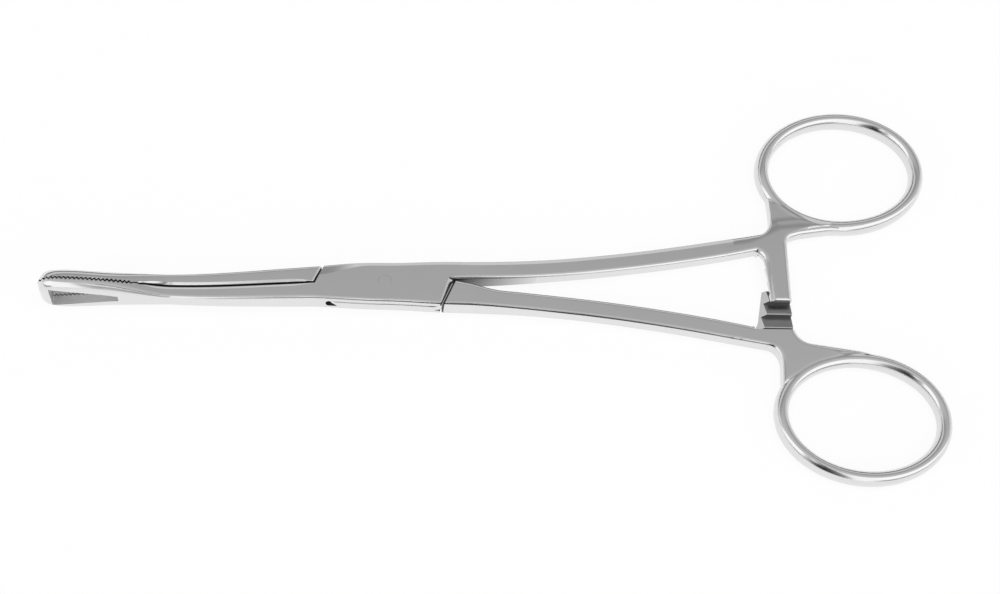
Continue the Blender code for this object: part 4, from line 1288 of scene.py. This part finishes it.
front = finish.stops(around, [(at(-180), 1.0), (at(-179), 0.0), (at(92), 0.0), (at(108), 1.0)])
middle_wall = finish.stops(around, [
    (at(-20), 0.75), (at(-12), 0.06), (at(12), 0.06), (at(18), 0.50), (at(40), 0.62), (at(46), 0.48),
    (at(53), 0.22), (at(58), 0.26), (at(64), 0.36), (at(70), 0.40), (at(78), 0.46), (at(98), 0.50),
    (at(106.5), 0.50), (at(110), 0.95), (at(178), 0.95),
])
left_wall = finish.stops(around, [
    (at(-20), 0.75), (at(-8), 0.10), (at(8), 0.10), (at(14), 0.66), (at(60), 0.66), (at(95), 0.55),
    (at(108), 1.00), (at(160), 1.00), (at(170), 0.20),
])
right_wall = finish.stops(around, [
    (at(-20), 0.75), (at(-8), 0.10), (at(4), 0.20), (at(12), 0.58), (at(50), 0.66), (at(66), 0.52),
    (at(90), 0.50), (at(100), 0.50), (at(110), 1.00), (at(160), 1.00), (at(170), 0.20),
])
to_right = finish.stops(sideways + front * 0.43, [(0.66, 0.0), (0.82, 1.0)])
to_left = finish.stops(sideways * -1.0 + front * 0.38, [(0.78, 0.0), (0.90, 1.0)])
lit = finish.mixed(to_right, middle_wall, right_wall)
lit = finish.mixed(to_left, lit, left_wall)
seen = finish.node("ShaderNodeLightPath")
white = finish.mixed(seen, lit, (ROOM_AS_SEEN, ROOM_AS_SEEN, ROOM_AS_SEEN, 1))
background = room.node_tree.nodes["Background"]
room.node_tree.links.new(white.socket, background.inputs["Color"])
background.inputs["Strength"].default_value = ROOM_BRIGHTNESS

card_shape = bmesh.new()
corners = (
    (CARD_X[0], CARD_FOOT), (CARD_X[1], CARD_FOOT), (CARD_X[1], CARD_HEIGHT), *CARD_NOTCH,
    (CARD_X[0], CARD_HEIGHT),
)
card_shape.faces.new([card_shape.verts.new((x, CARD_Y, z)) for x, z in corners])
card = as_object("dark_card", card_shape)
card.visible_camera = False
card.visible_diffuse = False
card.visible_shadow = False
card_paint = bpy.data.materials.new("graded_card")
card_paint.use_nodes = True
finish = Finish(card_paint)
place = finish.node("ShaderNodeTexCoord", output="Object")
card_width = CARD_X[1] - CARD_X[0]
along = finish.node("ShaderNodeSeparateXYZ", inputs={0: place}) * (1 / card_width)
grade = finish.stops(along - CARD_X[0] / card_width, [
    (0.0, 0.46), (0.15, 0.42), (0.32, 0.2), (0.42, 0.02), (0.62, 0.02), (0.85, 0.2), (1.0, 1.0),
])
finish.surface(finish.node("ShaderNodeEmission", inputs={"Color": grade, "Strength": CARD_BRIGHTNESS}))
card.data.materials.append(card_paint)

softbox = bpy.data.lights.new("softbox", "AREA")
softbox.shape = "RECTANGLE"
softbox.size = SOFTBOX_SIZE[0]
softbox.size_y = SOFTBOX_SIZE[1]
softbox.energy = SOFTBOX_WATTS
softbox_stand = bpy.data.objects.new("softbox", softbox)
softbox_stand.location = SOFTBOX_PLACE
softbox_stand.visible_glossy = False
scene.collection.objects.link(softbox_stand)
